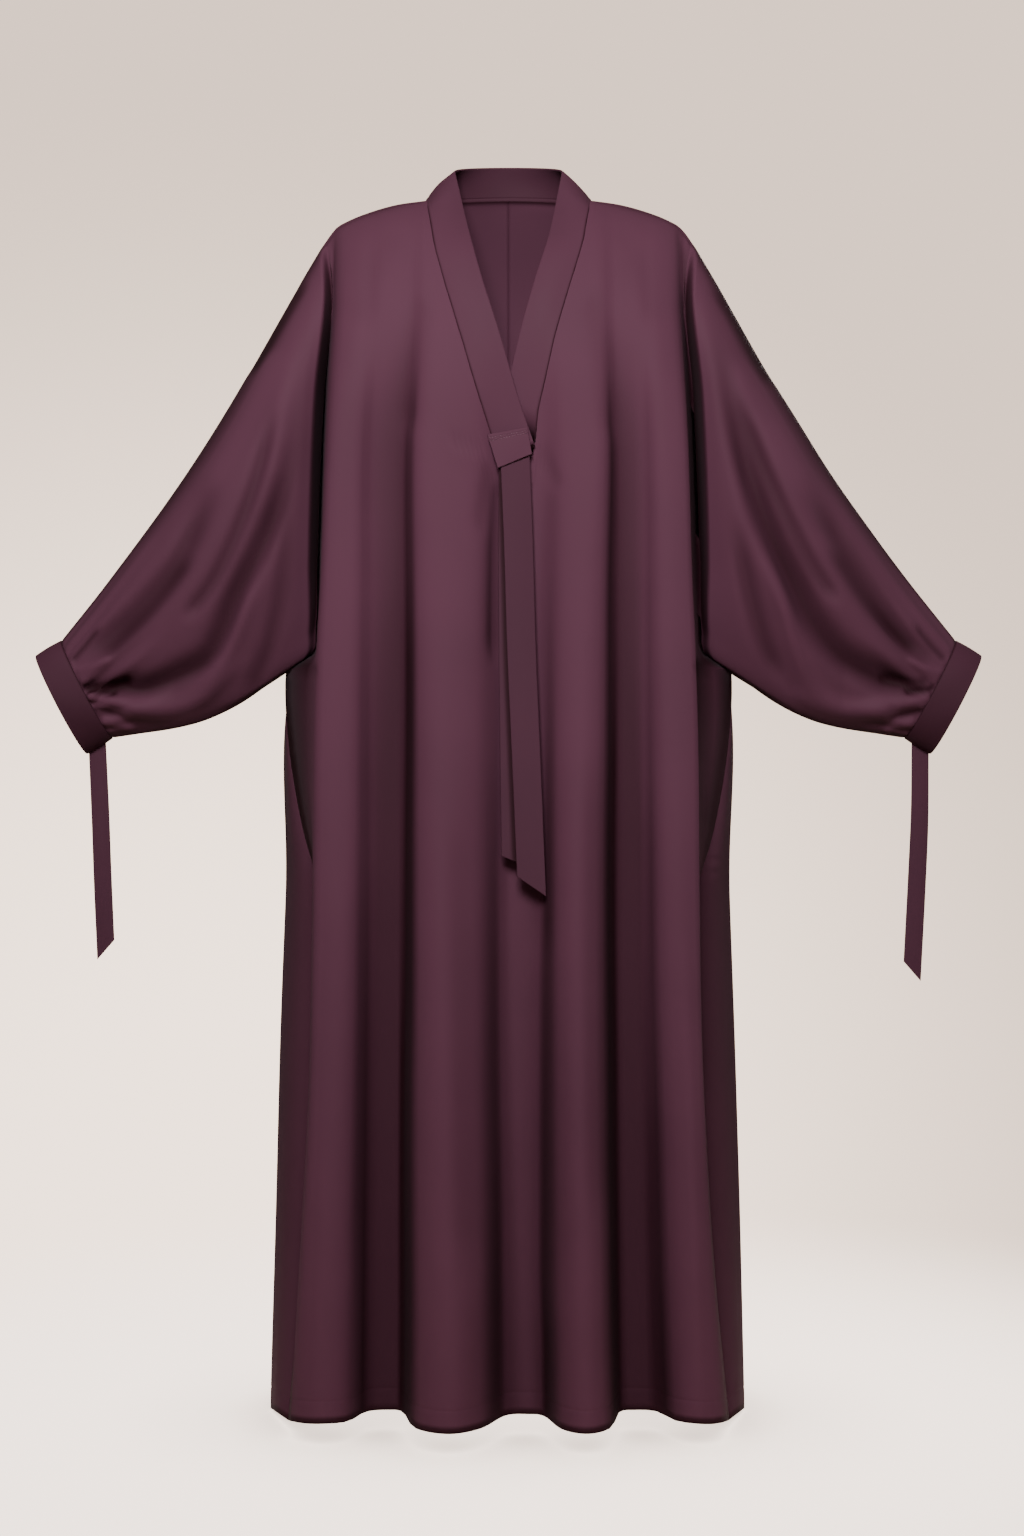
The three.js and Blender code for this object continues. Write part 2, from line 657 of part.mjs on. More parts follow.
function neckBand(front, backLeft, backRight) {
  const sheet = new Sheet('neck_band');
  const onLeft = front.top.filter((p) => p.x >= -NECK_HALF - 0.01 && p.x <= V_FOOT_LEFT + 0.01);
  const onRight = front.top.filter((p) => p.x >= V_FOOT_RIGHT - 0.01 && p.x <= NECK_HALF + 0.01);
  const inNeck = (p) => Math.abs(p.x) < NECK_HALF - 0.01;
  const behind = [...backRight.top.filter(inNeck), ...backLeft.top.filter(inNeck).slice(1)];
  const seams = [
    ...onLeft.slice(1).reverse().map((seam) => ({ seam, part: 'left' })),
    { seam: onLeft[0], part: 'back' },
    ...behind.reverse().map((seam) => ({ seam, part: 'back' })),
    { seam: onRight[onRight.length - 1], part: 'back' },
    ...onRight.slice(0, -1).reverse().map((seam) => ({ seam, part: 'right' })),
  ];
  const across = [0, 1 / 3, 2 / 3, 1];
  const lines = seams.map(({ seam, part }, k) => {
    const edge = bandEdge(seam, part);
    const before = seams[Math.max(0, k - 1)].seam;
    const after = seams[Math.min(seams.length - 1, k + 1)].seam;
    const outward = edge.clone().sub(seam).cross(after.clone().sub(before)).normalize();
    const bulge = BAND_ROLL * smooth(-250, -120, seam.z);
    return across.map((share) => {
      const place = seam.clone().lerp(edge, share);
      return place.addScaledVector(outward, bulge * Math.sin(Math.PI * share));
    });
  });
  for (let k = 0; k < lines.length - 1; k += 1) sheet.strip(lines[k], lines[k + 1]);
  return sheet;
}

function cuff(name, frontEnd, backEnd, side) {
  const sheet = new Sheet(name);
  const ring = [...frontEnd, ...backEnd.slice(1, -1).reverse()];
  const axis = new THREE.Vector3(-side * CUFF_AXIS[0], 0, CUFF_AXIS[2]);
  const middle = frontEnd[0].clone().lerp(frontEnd[frontEnd.length - 1], 0.5);
  const rings = [0, 0.5, 1].map((share) => ring.map((p) => {
    const swell = 1 + 0.05 * Math.sin(Math.PI * share) - 0.015 * share;
    return p.clone().sub(middle).multiplyScalar(swell).add(middle).addScaledVector(axis, share * CUFF_LENGTH);
  }));
  for (let k = 0; k < rings.length - 1; k += 1) {
    const near = [...rings[k], rings[k][0]];
    const far = [...rings[k + 1], rings[k + 1][0]];
    if (side < 0) sheet.strip(far, near);
    else sheet.strip(near, far);
  }
  return sheet;
}

function tab() {
  const sheet = new Sheet('band_tab');
  const [a, b, c, d] = TAB_CORNERS.map(({ x, y, z }) => new THREE.Vector3(x, y, z));
  const steps = [0, 0.5, 1];
  const line = (from, to) => steps.map((share) => from.clone().lerp(to, share));
  const left = line(a, d);
  const right = line(b, c);
  const columns = steps.map((share) => left.map((p, k) => p.clone().lerp(right[k], share)));
  for (let k = 0; k < columns.length - 1; k += 1) sheet.strip(columns[k], columns[k + 1]);
  return sheet;
}

function tie(name, shape) {
  const sheet = new Sheet(name);
  const steps = 10;
  const top = shape.z[0];
  const foot = shape.z[shape.z.length - 1];
  const half = shape.width / 2;
  const edge = (side) => Array.from({ length: steps + 1 }, (_, k) => {
    const z = mix(top, foot, k / steps);
    const slant = side * mix(shape.topSlope * half, shape.cut / 2, k / steps);
    const y = curve(shape.z, shape.y, z) + side * curve(shape.z, shape.lean, z);
    return new THREE.Vector3(curve(shape.z, shape.x, z) + side * half, y, z + slant);
  });
  sheet.strip(edge(-1), edge(1));
  return sheet;
}

function buildSheets() {
  const front = frontPanel();
  const backLeft = backHalf('back_left', -1);
  const backRight = backHalf('back_right', 1);
  const body = [
    front.sheet,
    backLeft.sheet,
    backRight.sheet,
    neckBand(front, backLeft, backRight),
    cuff('cuff_left', front.cuffs.left, backLeft.cuff, -1),
    cuff('cuff_right', front.cuffs.right, backRight.cuff, 1),
  ];
  const loose = [
    tab(),
    tie('tie_front', TIE_FRONT),
    tie('tie_back', TIE_BACK),
    tie('cuff_tie_left', CUFF_TIE_LEFT),
    tie('cuff_tie_right', CUFF_TIE_RIGHT),
  ];
  return { body, loose };
}

const CLOTH_OF = { neck_band: BAND_CLOTH };

function abaya() {
  const group = new THREE.Group();
  const { body, loose } = buildSheets();
  const bodyNormals = sharedNormals(body);
  const add = (sheet, normals, thickness) => {
    const material = new THREE.MeshStandardMaterial({ color: CLOTH_COLOUR, roughness: 0.62 });
    const mesh = new THREE.Mesh(wall(sheet, normals, thickness), material);
    mesh.name = sheet.name;
    group.add(mesh);
  };
  for (const sheet of body) add(sheet, bodyNormals, CLOTH_OF[sheet.name] ?? CLOTH);
  for (const sheet of loose) add(sheet, sharedNormals([sheet]), TIE_CLOTH);
  return group;
}

export default abaya();
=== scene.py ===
"""A plum pullover abaya with dolman sleeves, standing hollow as worn, on a plain pale floor.

The cloth is worked out in millimetres from fold lines and seam lines, then built in metres.
X runs to the viewer's right, the front faces -Y, and Z is up from the high shoulder level.
"""

import math

import bmesh
import bpy
import numpy as np
from bpy.props import FloatProperty, FloatVectorProperty, PointerProperty
from bpy.types import Operator, Panel, PropertyGroup
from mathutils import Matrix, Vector


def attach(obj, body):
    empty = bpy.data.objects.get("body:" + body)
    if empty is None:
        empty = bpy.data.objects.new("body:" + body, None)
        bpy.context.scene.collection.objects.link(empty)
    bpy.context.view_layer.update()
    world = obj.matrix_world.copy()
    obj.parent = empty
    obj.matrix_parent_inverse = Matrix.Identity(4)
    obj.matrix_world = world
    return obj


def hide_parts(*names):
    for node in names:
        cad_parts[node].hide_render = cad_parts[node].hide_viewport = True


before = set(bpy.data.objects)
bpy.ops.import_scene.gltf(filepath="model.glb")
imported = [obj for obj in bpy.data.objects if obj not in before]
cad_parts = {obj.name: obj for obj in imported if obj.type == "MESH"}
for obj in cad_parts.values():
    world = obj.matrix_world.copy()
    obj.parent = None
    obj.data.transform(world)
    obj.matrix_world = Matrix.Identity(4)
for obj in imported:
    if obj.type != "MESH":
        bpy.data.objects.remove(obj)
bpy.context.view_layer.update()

bl_info = {
    "name": "Abaya",
    "version": (1, 0, 0),
    "blender": (4, 5, 0),
    "location": "View3D > Sidebar > Abaya",
    "description": "Builds a dolman abaya piece by piece, with its cloth, sewing and studio",
    "category": "Object",
}

MM = 0.001


def table(columns, *rows):
    """Rows of a table as dictionaries under its column names."""
    return tuple(dict(zip(columns, row)) for row in rows)


# Driving dimensions of the garment. Lengths are in millimetres, and levels are heights below the shoulders.
NECK_HALF = 95
SHOULDER_HALF = 211
SHOULDER_DROP = 46
UNDERARM_HALF = 258
UNDERARM_Z = -548
HEM_SIDE_Z = -1406
FRONT_ROLL = 240
BACK_ROLL = 200
ROLL_POWER = 0.7
NECK_ROLL_POWER = 1.0
SHOULDER_EASE = 60
BACK_NECK_DEPTH = 58
BACK_NECK_RISE = 12
OVERARM_END_Z = -515
CUFF_LENGTH = 34
CUFF_UNDERLAP = 1.4
CUFF_AXIS = (-0.856, 0.0, -0.517)
GATHER_COUNT = 9
BAND_WIDTH = 45
TAB_WIDTH = 44
TAB_DEPTH = 36
TAB_STITCHES = (4, 7)
FLOOR_Z = -1416

# How finely the cloth is drawn
SLEEVE_ROWS = 96
SLEEVE_STATIONS = 84
SHOULDER_STEPS = 22
FRONT_DENSITY = 7
BACK_NECK_STEPS = 38
BODY_ROWS = 58
HEM_ROWS = (30, 27.5, 26, 25, 24, 22.5, 19, 14, 9, 5, 2, 0)
LINE_STEPS = 24
SEARCH_STEPS = 40
TIE_ROWS = 72
STRIP_STEPS = 12
EDGE_STEPS = (0, 0.15, 0.4, 0.8, 1.4, 2.4, 4.0)
GROOVE_STEPS = (-2, -1.2, -0.6, 0, 0.6, 1.2, 2)
# Points nearer than this are welded, and shorter edges are dissolved, in metres
WELD_DISTANCE = 2e-6
SHORTEST_EDGE = 1e-7

# Fold lines round the body: how soft a slope is, its hem height, and its x and y at these levels
LEVELS = (-140, -300, -450, -560, -815, -1050, -1400)
LINE_COLUMNS = ("name", "soft", "hem", "x", "y")
FRONT_LINES = table(
    LINE_COLUMNS,
    ("left tuck", 0, -1401,
     (-203, -208, -213, -218, -220, -225, -247), (-46, -60, -64, -66, -70, -74, -86)),
    ("left edge", 0, -1396,
     (-200, -206.5, -212, -217, -220, -225, -245), (-70, -90, -96, -100, -105, -110, -106)),
    ("left flat", 0, -1395,
     (-191, -199, -204, -208, -211, -216, -230), (-88, -100, -104, -107, -112, -118, -120)),
    ("crest 1", 0, -1393,
     (-172, -184, -187, -189, -193, -199, -209), (-98, -103, -106, -108, -114, -120, -130)),
    ("slope 1", 0.55, -1394,
     (-150, -160, -161, -162, -163, -165, -170), (-102, -99, -98, -97, -96, -96, -97)),
    ("trough 1", 0, -1394,
     (-125, -134, -134, -134, -134, -135, -137), (-103, -89, -86, -83, -78, -72, -63)),
    ("slope 2", 0.25, -1394,
     (-104, -112, -112, -112, -113, -114, -115), (-109, -104, -102, -100, -100, -100, -104)),
    ("crest 2", 0, -1394, (-70, -79, -77, -76, -73, -70, -66), (-111, -118, -123, -128, -142, -156, -171)),
    ("slope 3", 0.95, -1394,
     (-20, -14, -14, -14, -15, -14, -12), (-111, -108, -107, -106, -108, -110, -112)),
    ("trough 2", 0, -1394, (6, 8, 8, 8, 8, 12, 22), (-112, -99, -94, -92, -88, -85, -82)),
    ("slope 4", 0.8, -1394, (46, 46, 45, 45, 44, 44, 47), (-111, -107, -107, -107, -111, -116, -122)),
    ("crest 3", 0, -1394, (88, 94, 88, 84, 82, 83, 88), (-110, -117, -122, -128, -142, -156, -170)),
    ("slope 5", 0.15, -1394,
     (112, 116, 115, 115, 114, 115, 121), (-108, -103, -101, -101, -101, -102, -104)),
    ("trough 3", 0, -1394, (134, 139, 139, 139, 139, 141, 144), (-102, -89, -86, -84, -79, -73, -64)),
    ("slope 6", 0.85, -1394, (152, 157, 158, 158, 160, 164, 176), (-102, -98, -97, -97, -96, -95, -88)),
    ("crest 4", 0, -1393, (170, 177, 181, 184, 189, 199, 210), (-98, -104, -107, -109, -115, -121, -129)),
    ("right flat", 0, -1395,
     (190, 197, 201, 205, 208, 213, 229), (-88, -100, -104, -107, -112, -118, -122)),
    ("right edge", 0, -1396,
     (198, 204.5, 209, 214, 217, 222, 244), (-70, -90, -96, -100, -105, -110, -108)),
    ("right tuck", 0, -1401, (201, 206, 210, 215, 217, 222, 246), (-46, -60, -64, -66, -70, -74, -86)),
)
BACK_LINES = table(
    LINE_COLUMNS,
    ("right turn", 0, -1412, (208, 218, 224, 262, 262, 270, 279), (60, 74, 72, 22, 22, 18, 2)),
    ("right crest", 0, -1412, (185, 190, 192, 205, 214, 222, 232), (92, 98, 98, 96, 104, 112, 128)),
    ("right trough", 0, -1410, (140, 142, 143, 148, 152, 156, 160), (104, 100, 94, 88, 82, 76, 66)),
    ("inner right crest", 0, -1412, (95, 97, 98, 98, 99, 101, 104), (110, 114, 118, 122, 136, 142, 152)),
    ("inner right trough", 0, -1410, (50, 50, 48, 46, 44, 42, 40), (110, 104, 100, 96, 88, 80, 70)),
    ("middle crest", 0, -1412, (-8, -10, -12, -12, -14, -16, -18), (112, 115, 119, 124, 138, 142, 153)),
    ("inner left trough", 0, -1410, (-66, -68, -70, -70, -72, -74, -76), (110, 104, 98, 94, 86, 78, 66)),
    ("inner left crest", 0, -1412,
     (-118, -122, -124, -126, -130, -134, -140), (107, 110, 113, 118, 132, 138, 150)),
    ("left trough", 0, -1410, (-158, -162, -164, -170, -176, -182, -190), (98, 94, 92, 88, 84, 78, 70)),
    ("left crest", 0, -1412, (-188, -194, -197, -210, -220, -230, -240), (88, 94, 94, 88, 94, 104, 116)),
    ("left turn", 0, -1412, (-208, -218, -224, -262, -264, -272, -281), (60, 74, 72, 22, 22, 18, 2)),
)
# Where a fold's steep wall starts and ends, as shares of the way from its middle to the crest and to the
# trough, and how much farther out that is on a wholly soft wall
WALL_BROW = {"along": 0.2, "rise": 0.6, "softening": 0.16}
WALL_FOOT = {"along": 0.2, "rise": 0.75, "softening": 0.04}
BACK_WALL_PLACE = 0.4

# The fold at the armhole, then the side seam: half width, and the depths of the front and back cloth
SIDE_LINE = {
    "z": (-46, -114, -232, -420, -500, -532, -548, -556, -640, -735, -815, -1050, -1412),
    "x": (211, 203, 213, 221, 223, 230, 258, 259, 254, 236, 214, 220, 252),
    "front": (-60, -50, -26, -22, -20, -15, -8, -9, -15, -34, -38, -45, -62),
    "back": (60, 66, 66, 60, 46, 22, -8, -9, -15, -34, -38, -45, -62),
}
SIDE_SEAM_START = (UNDERARM_Z + 40, UNDERARM_Z - 60)
SHOULDER_LINE = {"x": (95, 130, 162, 187, 202, 211), "z": (-1, -6, -15, -25, -34, -46)}
V_SEAM = {
    "x": (-95, -83.5, -68.6, -49.5, -33.5, -23, -11, 27.6, 31.5, 40.6, 51.4, 68.7, 84.5, 95),
    "z": (-1, -68, -123, -183, -245.5, -286.5, -322, -307, -262, -224, -174, -115, -61, -1),
}
V_FOOT = {"left": -11, "right": 27.6}

# The overarm runs down from the shoulder point, the underarm in from the side
OVERARM = {"t": (0, 0.113, 0.3625, 0.61, 0.859, 1), "x": (211, 242, 309, 383, 468, 521)}
UNDERARM = {"x": (258, 310, 348, 378, 436, 463), "z": (-548, -586, -605, -614, -623, -627)}
SLEEVE_DEPTH = {
    "t": (0, 0.08, 0.3, 0.6, 0.9, 1),
    "front": (80, 92, 86, 68, 42, 35),
    "back": (84, 94, 88, 70, 42, 35),
}

# How the sleeves turn out of the body and fill out, as shares of the way to the cuff or the underarm
ARMHOLE_TURN = table(("share", "start", "end"), (0.84, 0, 0.03), (0.16, 0.01, 0.2))
HANG_POWER = 0.62
ROUNDING = (0.35, 1)
UNDERARM_ROUND = 0.4
FOLDS_BEGIN = (0.05, 0.2)
FOLDS_END = (0.99, 0.8)
GATHERS_BEGIN = (0.6, 0.95)
GATHERS_END = (1, 0.985)
FOLD_STRENGTH = {"front": 1.0, "back": 0.7}
CREASE_STRENGTH = {"front": 0.8, "back": 0.65}

# Main folds of each sleeve: half width, inward depth, painted shade, negative for a painted highlight on a
# ridge, and its line. Side -1 is at -X.
FOLD_COLUMNS = ("name", "width", "depth", "shade", "x", "z")
SLEEVE_FOLDS = {
    -1: table(
        FOLD_COLUMNS,
        ("main trough", 13, 20, 0.62,
         (-218, -236, -273, -308, -338, -372, -417, -466, -510),
         (-110, -291, -396, -464, -528, -551, -568, -571, -571)),
        ("main ridge", 11, -12, -0.35,
         (-258, -296, -315, -336, -360, -391, -428, -474),
         (-360, -464, -513, -551, -588, -600, -594, -574)),
        ("inner trough", 10, 13, 0.46, (-240, -255, -267, -281, -306), (-330, -449, -502, -540, -584)),
        ("upper streak", 13, 11, 0.42, (-330, -372, -417, -448, -492), (-330, -420, -475, -505, -540)),
        ("middle streak", 8, 7, 0.34, (-262, -290, -330, -372), (-250, -350, -440, -496)),
        ("low streak", 9, 6, 0.3, (-318, -350, -395, -450), (-586, -606, -612, -606)),
    ),
    1: table(
        FOLD_COLUMNS,
        ("main trough", 16, 22, 0.6,
         (219, 247, 293, 330, 349, 380, 417, 451, 510),
         (-106, -245, -381, -457, -494, -532, -554, -566, -570)),
        ("main ridge", 11, -12, -0.35,
         (268, 312, 327, 349, 383, 421, 476), (-370, -475, -525, -570, -596, -596, -578)),
        ("inner trough", 10, 13, 0.46, (250, 281, 304, 338), (-370, -483, -540, -584)),
        ("upper streak", 13, 11, 0.42, (340, 398, 451, 492), (-340, -432, -509, -544)),
        ("middle streak", 8, 7, 0.34, (258, 296, 340, 378), (-236, -330, -420, -478)),
        ("low streak", 9, 6, 0.3, (330, 362, 404, 452), (-592, -610, -613, -606)),
    ),
}

# Inner edges of the neck band, against how far down the V the seam is
BAND_EDGE = {
    "left": {
        "down": (0, 0.21, 0.38, 0.57, 0.76, 1),
        "x": (-62, -43.5, -28.5, -10, 9.5, 30),
        "z": (33, -54, -112, -172, -240, -300),
    },
    "right": {
        "down": (0, 0.2, 0.375, 0.57, 0.73, 0.85, 1),
        "x": (62, 46, 31, 14, 3, -5, -6),
        "z": (33, -52, -104, -165, -212, -246, -285),
    },
}
BAND_TOP = {"half": 62, "front_y": 6, "back_y": 50, "side_z": 33, "back_z": 49, "power": 0.8}
BAND_OVER = 4
BAND_UNDER = 5
BAND_ROLL = 2.5
BAND_ROLL_LEVELS = (-250, -120)
BAND_UNDERLAP = 1.2
# Where down the V the right end of the band goes under, and where the band comes to lie on the front
BAND_GOES_UNDER = (0.3, 0.8)
BAND_COMES_TO_LIE = (0, 0.25)
BAND_LIES_BELOW = -30
BAND_GROOVE = {"depth": 0.5, "width": 0.9, "start": (-6, 2)}
BAND_BACK_SHADE = {"start": (-10, 8), "shade": 0.3, "change": 0.1}
BAND_WAVE = {"height": 0.8, "along": 23, "shift": 0.6, "across": 19}

TAB_CORNERS = {
    "upper left": (-24, -111.6, -288),
    "upper right": (21.5, -108.2, -279.5),
    "lower right": (26.5, -109.0, -309.5),
    "lower left": (-12, -113.7, -326),
}

# The tab's and cuffs' small relief, and the form of one stitch along its length
TAB_PILLOW = 0.7
TAB_GROOVE = {"depth": 0.35, "width": 0.7}
STITCH = {"length": 2.4, "gap": 0.7, "radius": 0.28, "sides": 8}
STITCH_PROFILE = table(
    ("place", "size"), (0.0, 0.25), (0.12, 0.8), (0.35, 1.0), (0.65, 1.0), (0.88, 0.8), (1.0, 0.25)
)
CUFF_SWELL = {"middle": 0.012, "edge": 0.004, "wave": 0.5, "wave_length": 11}

# Ties: middle line, how far the left edge leans forward of it, width, and the slants of both ends
TIES = {
    "tie_front": {
        "z": (-313, -400, -530, -640, -795), "x": (7.5, 11, 14.8, 19.5, 26),
        "y": (-108.6, -107.9, -108.8, -111, -114.5), "lean": (2.5, 2.4, 1, 0, -1.5),
        "width": 32.5, "top_slope": 0.42, "cut": -22, "curl": 0.9, "twist": 0.0,
    },
    "tie_back": {
        "z": (-313, -400, -530, -640, -768), "x": (5.5, 5.2, 5.6, 6.8, 8.6),
        "y": (-106.2, -105.4, -106, -106.5, -107.5), "lean": (2.5, 2.4, 1.5, 1, 0.5),
        "width": 32.5, "top_slope": 0.42, "cut": -14, "curl": 0.5, "twist": 0.0,
    },
    "cuff_tie_left": {
        "z": (-637.5, -720, -790, -874), "x": (-479, -475.5, -473, -469.5),
        "y": (0, 1, 1, 2), "lean": (0, 0, 0, 0),
        "width": 20, "top_slope": 0.5, "cut": 23, "curl": 1.6, "twist": 1.2,
    },
    "cuff_tie_right": {
        "z": (-637.5, -720, -790, -899), "x": (479.5, 479, 476, 470.5),
        "y": (0, 1, 1, 2), "lean": (0, 0, 0, 0),
        "width": 20, "top_slope": -0.5, "cut": -23, "curl": 1.6, "twist": -1.2,
    },
}

# Small creases: half width, outward height, negative for a crease that sinks, and the line. The height also
# paints shade into a sinking crease and a painted highlight onto a raised one.
CREASE_COLUMNS = ("name", "width", "height", "x", "z")
FRONT_CREASES = table(
    CREASE_COLUMNS,
    ("left of the tab, upper", 6, -1.6, (-28, -44, -66), (-302, -300, -292)),
    ("left of the tab, middle", 5, 1.4, (-27, -46, -70), (-312, -313, -308)),
    ("left of the tab, lower", 7, -2.2, (-18, -26, -34), (-322, -352, -402)),
    ("under the ties", 9, -5, (-8, -12, -14, -15), (-330, -380, -450, -560)),
    ("right of the tab", 7, -1.6, (33, 44, 58), (-300, -322, -352)),
    ("left chest", 14, -2.2, (-98, -104, -112), (-120, -190, -290)),
    ("right chest", 14, -2.0, (96, 106, 114), (-110, -190, -300)),
    ("left shoulder", 15, -1.0, (-130, -156, -176), (-36, -96, -170)),
    ("right shoulder", 15, -1.0, (126, 152, 174), (-34, -92, -166)),
    ("left side diagonal", 9, -3.0, (-256, -250, -236), (-636, -662, -736)),
    ("right side diagonal", 9, -3.0, (254, 242, 228), (-626, -664, -736)),
    ("left skirt", 16, -2.6, (-52, -50, -44), (-700, -960, -1250)),
    ("left skirt side", 13, 2.2, (-186, -190, -196), (-760, -980, -1240)),
    ("middle skirt", 14, 2.4, (34, 36, 42), (-820, -1010, -1320)),
    ("right skirt", 15, -2.4, (96, 94, 98), (-640, -900, -1180)),
    ("right skirt side", 12, 2.0, (196, 204, 214), (-840, -1040, -1300)),
)
BACK_CREASES = table(
    CREASE_COLUMNS,
    ("right shoulder blade", 15, -2.4, (120, 112, 104), (-90, -200, -330)),
    ("left shoulder blade", 15, -2.2, (-116, -112, -98), (-80, -190, -340)),
    ("right yoke", 11, 1.6, (160, 168, 172), (-60, -140, -260)),
    ("left yoke", 11, 1.5, (-150, -166, -176), (-52, -130, -250)),
    ("right skirt", 16, -2.8, (74, 72, 70), (-560, -820, -1180)),
    ("left skirt", 14, 2.4, (-100, -104, -110), (-620, -900, -1260)),
    ("right skirt side", 12, 2.2, (186, 196, 204), (-700, -980, -1290)),
    ("left skirt side", 13, -2.4, (-206, -214, -226), (-760, -1010, -1310)),
)
LEFT_SLEEVE_CREASES = table(
    CREASE_COLUMNS,
    ("shoulder drag", 8, -2.2, (-232, -262, -300), (-96, -150, -214)),
    ("upper arm", 12, 2.6, (-262, -300, -352), (-176, -258, -346)),
    ("elbow streak", 9, -3.2, (-356, -404, -470), (-416, -478, -540)),
    ("low bright fold", 10, 4.0, (-300, -350, -404, -462), (-528, -578, -594, -598)),
    ("above the cuff", 5, -3.4, (-430, -456, -486), (-560, -566, -566)),
    ("pucker 1", 4, -3.6, (-470, -488, -505), (-500, -522, -541)),
    ("pucker 2", 4, 3.0, (-452, -478, -501), (-534, -546, -552)),
    ("pucker 3", 4.5, -4.0, (-448, -470, -493), (-572, -572, -569)),
    ("pucker 4", 4.5, 3.2, (-436, -462, -488), (-590, -585, -579)),
    ("pucker 5", 4, -3.0, (-440, -460, -481), (-604, -599, -594)),
    ("pucker 6", 5, 2.6, (-430, -452, -473), (-617, -612, -606)),
)
RIGHT_SLEEVE_CREASES = table(
    CREASE_COLUMNS,
    ("shoulder drag", 9, -2.0, (234, 268, 304), (-104, -160, -226)),
    ("upper arm", 13, 2.8, (258, 304, 348), (-190, -270, -350)),
    ("elbow streak", 10, -3.4, (362, 410, 474), (-404, -474, -536)),
    ("low bright fold", 11, 4.2, (296, 344, 398, 458), (-534, -582, -597, -600)),
    ("above the cuff", 5.5, -3.2, (424, 452, 486), (-556, -563, -564)),
    ("pucker 1", 4.5, -3.4, (466, 486, 506), (-496, -519, -540)),
    ("pucker 2", 4, 2.8, (456, 480, 501), (-536, -548, -554)),
    ("pucker 3", 4, -4.2, (452, 472, 494), (-574, -573, -570)),
    ("pucker 4", 5, 3.4, (440, 464, 488), (-592, -587, -581)),
    ("pucker 5", 4, -3.2, (438, 460, 480), (-606, -601, -596)),
    ("pucker 6", 5, 2.4, (432, 452, 472), (-618, -613, -607)),
)

# Seams and stitch lines, in millimetres
SEAM_DIP = 0.9
SIDE_SEAM_DIP = 0.3
SEAM_REACH = 3.0
OVERARM_STITCH_IN = 10
OVERARM_STITCH_DEPTH = 0.9
HEM_TURN_UP = 25
HEM_STITCH_DEPTH = 0.35
BAND_STITCH_IN = 5
SEAM_CLEARANCE = 12
SIDE_CLEARANCE = 14
RIPPLE_SEED = {"front": 1.3, "back": 4.1}

# Where the cloth of the body gives way to sleeve and neck, as distances from the centre line
BODY_FADE = (SHOULDER_HALF + 60, SHOULDER_HALF + 10)
SLEEVE_FADE = (SHOULDER_HALF + 4, SHOULDER_HALF + 24)
NECK_FADE = (NECK_HALF, NECK_HALF + 12)
OVERARM_FADE = (360, 300)

# Painted shade, from 0 to 1, that darkens the cloth's colour in folds, creases, seams and edges. A point is
# as deep in a fold as the cloth around it, averaged this many times, lies farther out.
AVERAGING_PASSES = 60
FOLD_START = 1.0
FOLD_END = 16.0
TROUGH_SHADE = 0.62
# A wall turned away from the front gets painted shade too, unless it lies on a crest
WALL_FACING = (0.72, 0.3)
WALL_DEPTH = (-9, 3)
SLEEVE_SHADE = 0.05
SLEEVE_CREASE_SHADE = 0.13
BODY_CREASE_SHADE = 0.045
# Painted shade along the hem's edge, as distances from it, and on the side panels under the sleeves, in
# fold lines from the side seam
HEM_EDGE_SHADE = (8.5, 3.5)
SIDE_PANEL_SHADE = 0.34
SIDE_PANEL = {"front": (1.9, 1.5), "back": (1.7, 0.9)}
SIDE_PANEL_RISE = 70
# Painted shade on the cuffs, darker lower down, and on the back tie under the front one
CUFF_SHADE = {"levels": (-520, -640), "top": 0.3, "more": 0.4}
TIE_SHADE = {"reach": (7, 1.5), "shade": 0.95}
# Painted shade along the seams and the overarm stitch line: how dark, and how far it reaches
SEAM_SHADES = {
    "cuff seam on the sleeve": {"shade": 0.8, "reach": 1.6},
    "cuff seam on the cuff": {"shade": 0.85, "reach": 2.2},
    "neck seam on the front": {"shade": 0.9, "reach": 3.0},
    "neck seam on the band": {"shade": 0.9, "reach": 1.8},
    "overarm line": {"shade": 0.45, "reach": 1.8},
}

# How each finish of the crepe departs from the cloth's roughness, bump and colour. Its darker tone is
# painted shade.
FINISHES = {
    "plum crepe": {"roughness_shift": 0.0, "weave": 1.0, "painted_tone": 1.0},
    "plum crepe, folded and painted darker": {"roughness_shift": -0.02, "weave": 0.9, "painted_tone": 0.9},
    "plum crepe, pressed and painted darker": {"roughness_shift": -0.03, "weave": 0.8, "painted_tone": 0.72},
}

# The studio. Places and sizes are in metres, the lens and its sensor in millimetres.
CAMERA = {"lens": 60.35, "sensor": 36.0, "place": (0.004, -3.0, -0.662)}
CHEST = (0.0, 0.0, -0.6)
SOFT_WHITE = (1.0, 0.98, 0.98)
LIGHTS = table(
    ("name", "place", "target", "size", "power", "times", "colour", "spread"),
    ("key light", (-0.22, -2.25, 0.9), (0.0, 0.0, -0.45), 0.9, "key_power", 1.0, (1.0, 0.97, 0.97), 95),
    ("fill light", (2.3, -2.3, 0.2), CHEST, 2.0, "fill_power", 1.0, (1.0, 0.98, 0.96), 180),
    ("left light", (-2.6, 0.5, -0.3), CHEST, 1.6, "side_power", 1.0, SOFT_WHITE, 180),
    ("right light", (2.6, 0.5, -0.3), CHEST, 1.6, "side_power", 2.1, SOFT_WHITE, 180),
    ("back light", (0.5, 2.8, 0.4), CHEST, 1.4, "back_power", 1.0, SOFT_WHITE, 120),
)
FLOOR_DISC = {"radius": 3.0, "rings": 24, "spokes": 96}
FLOOR_FADE = {"start": 0.45, "end": 1.5}
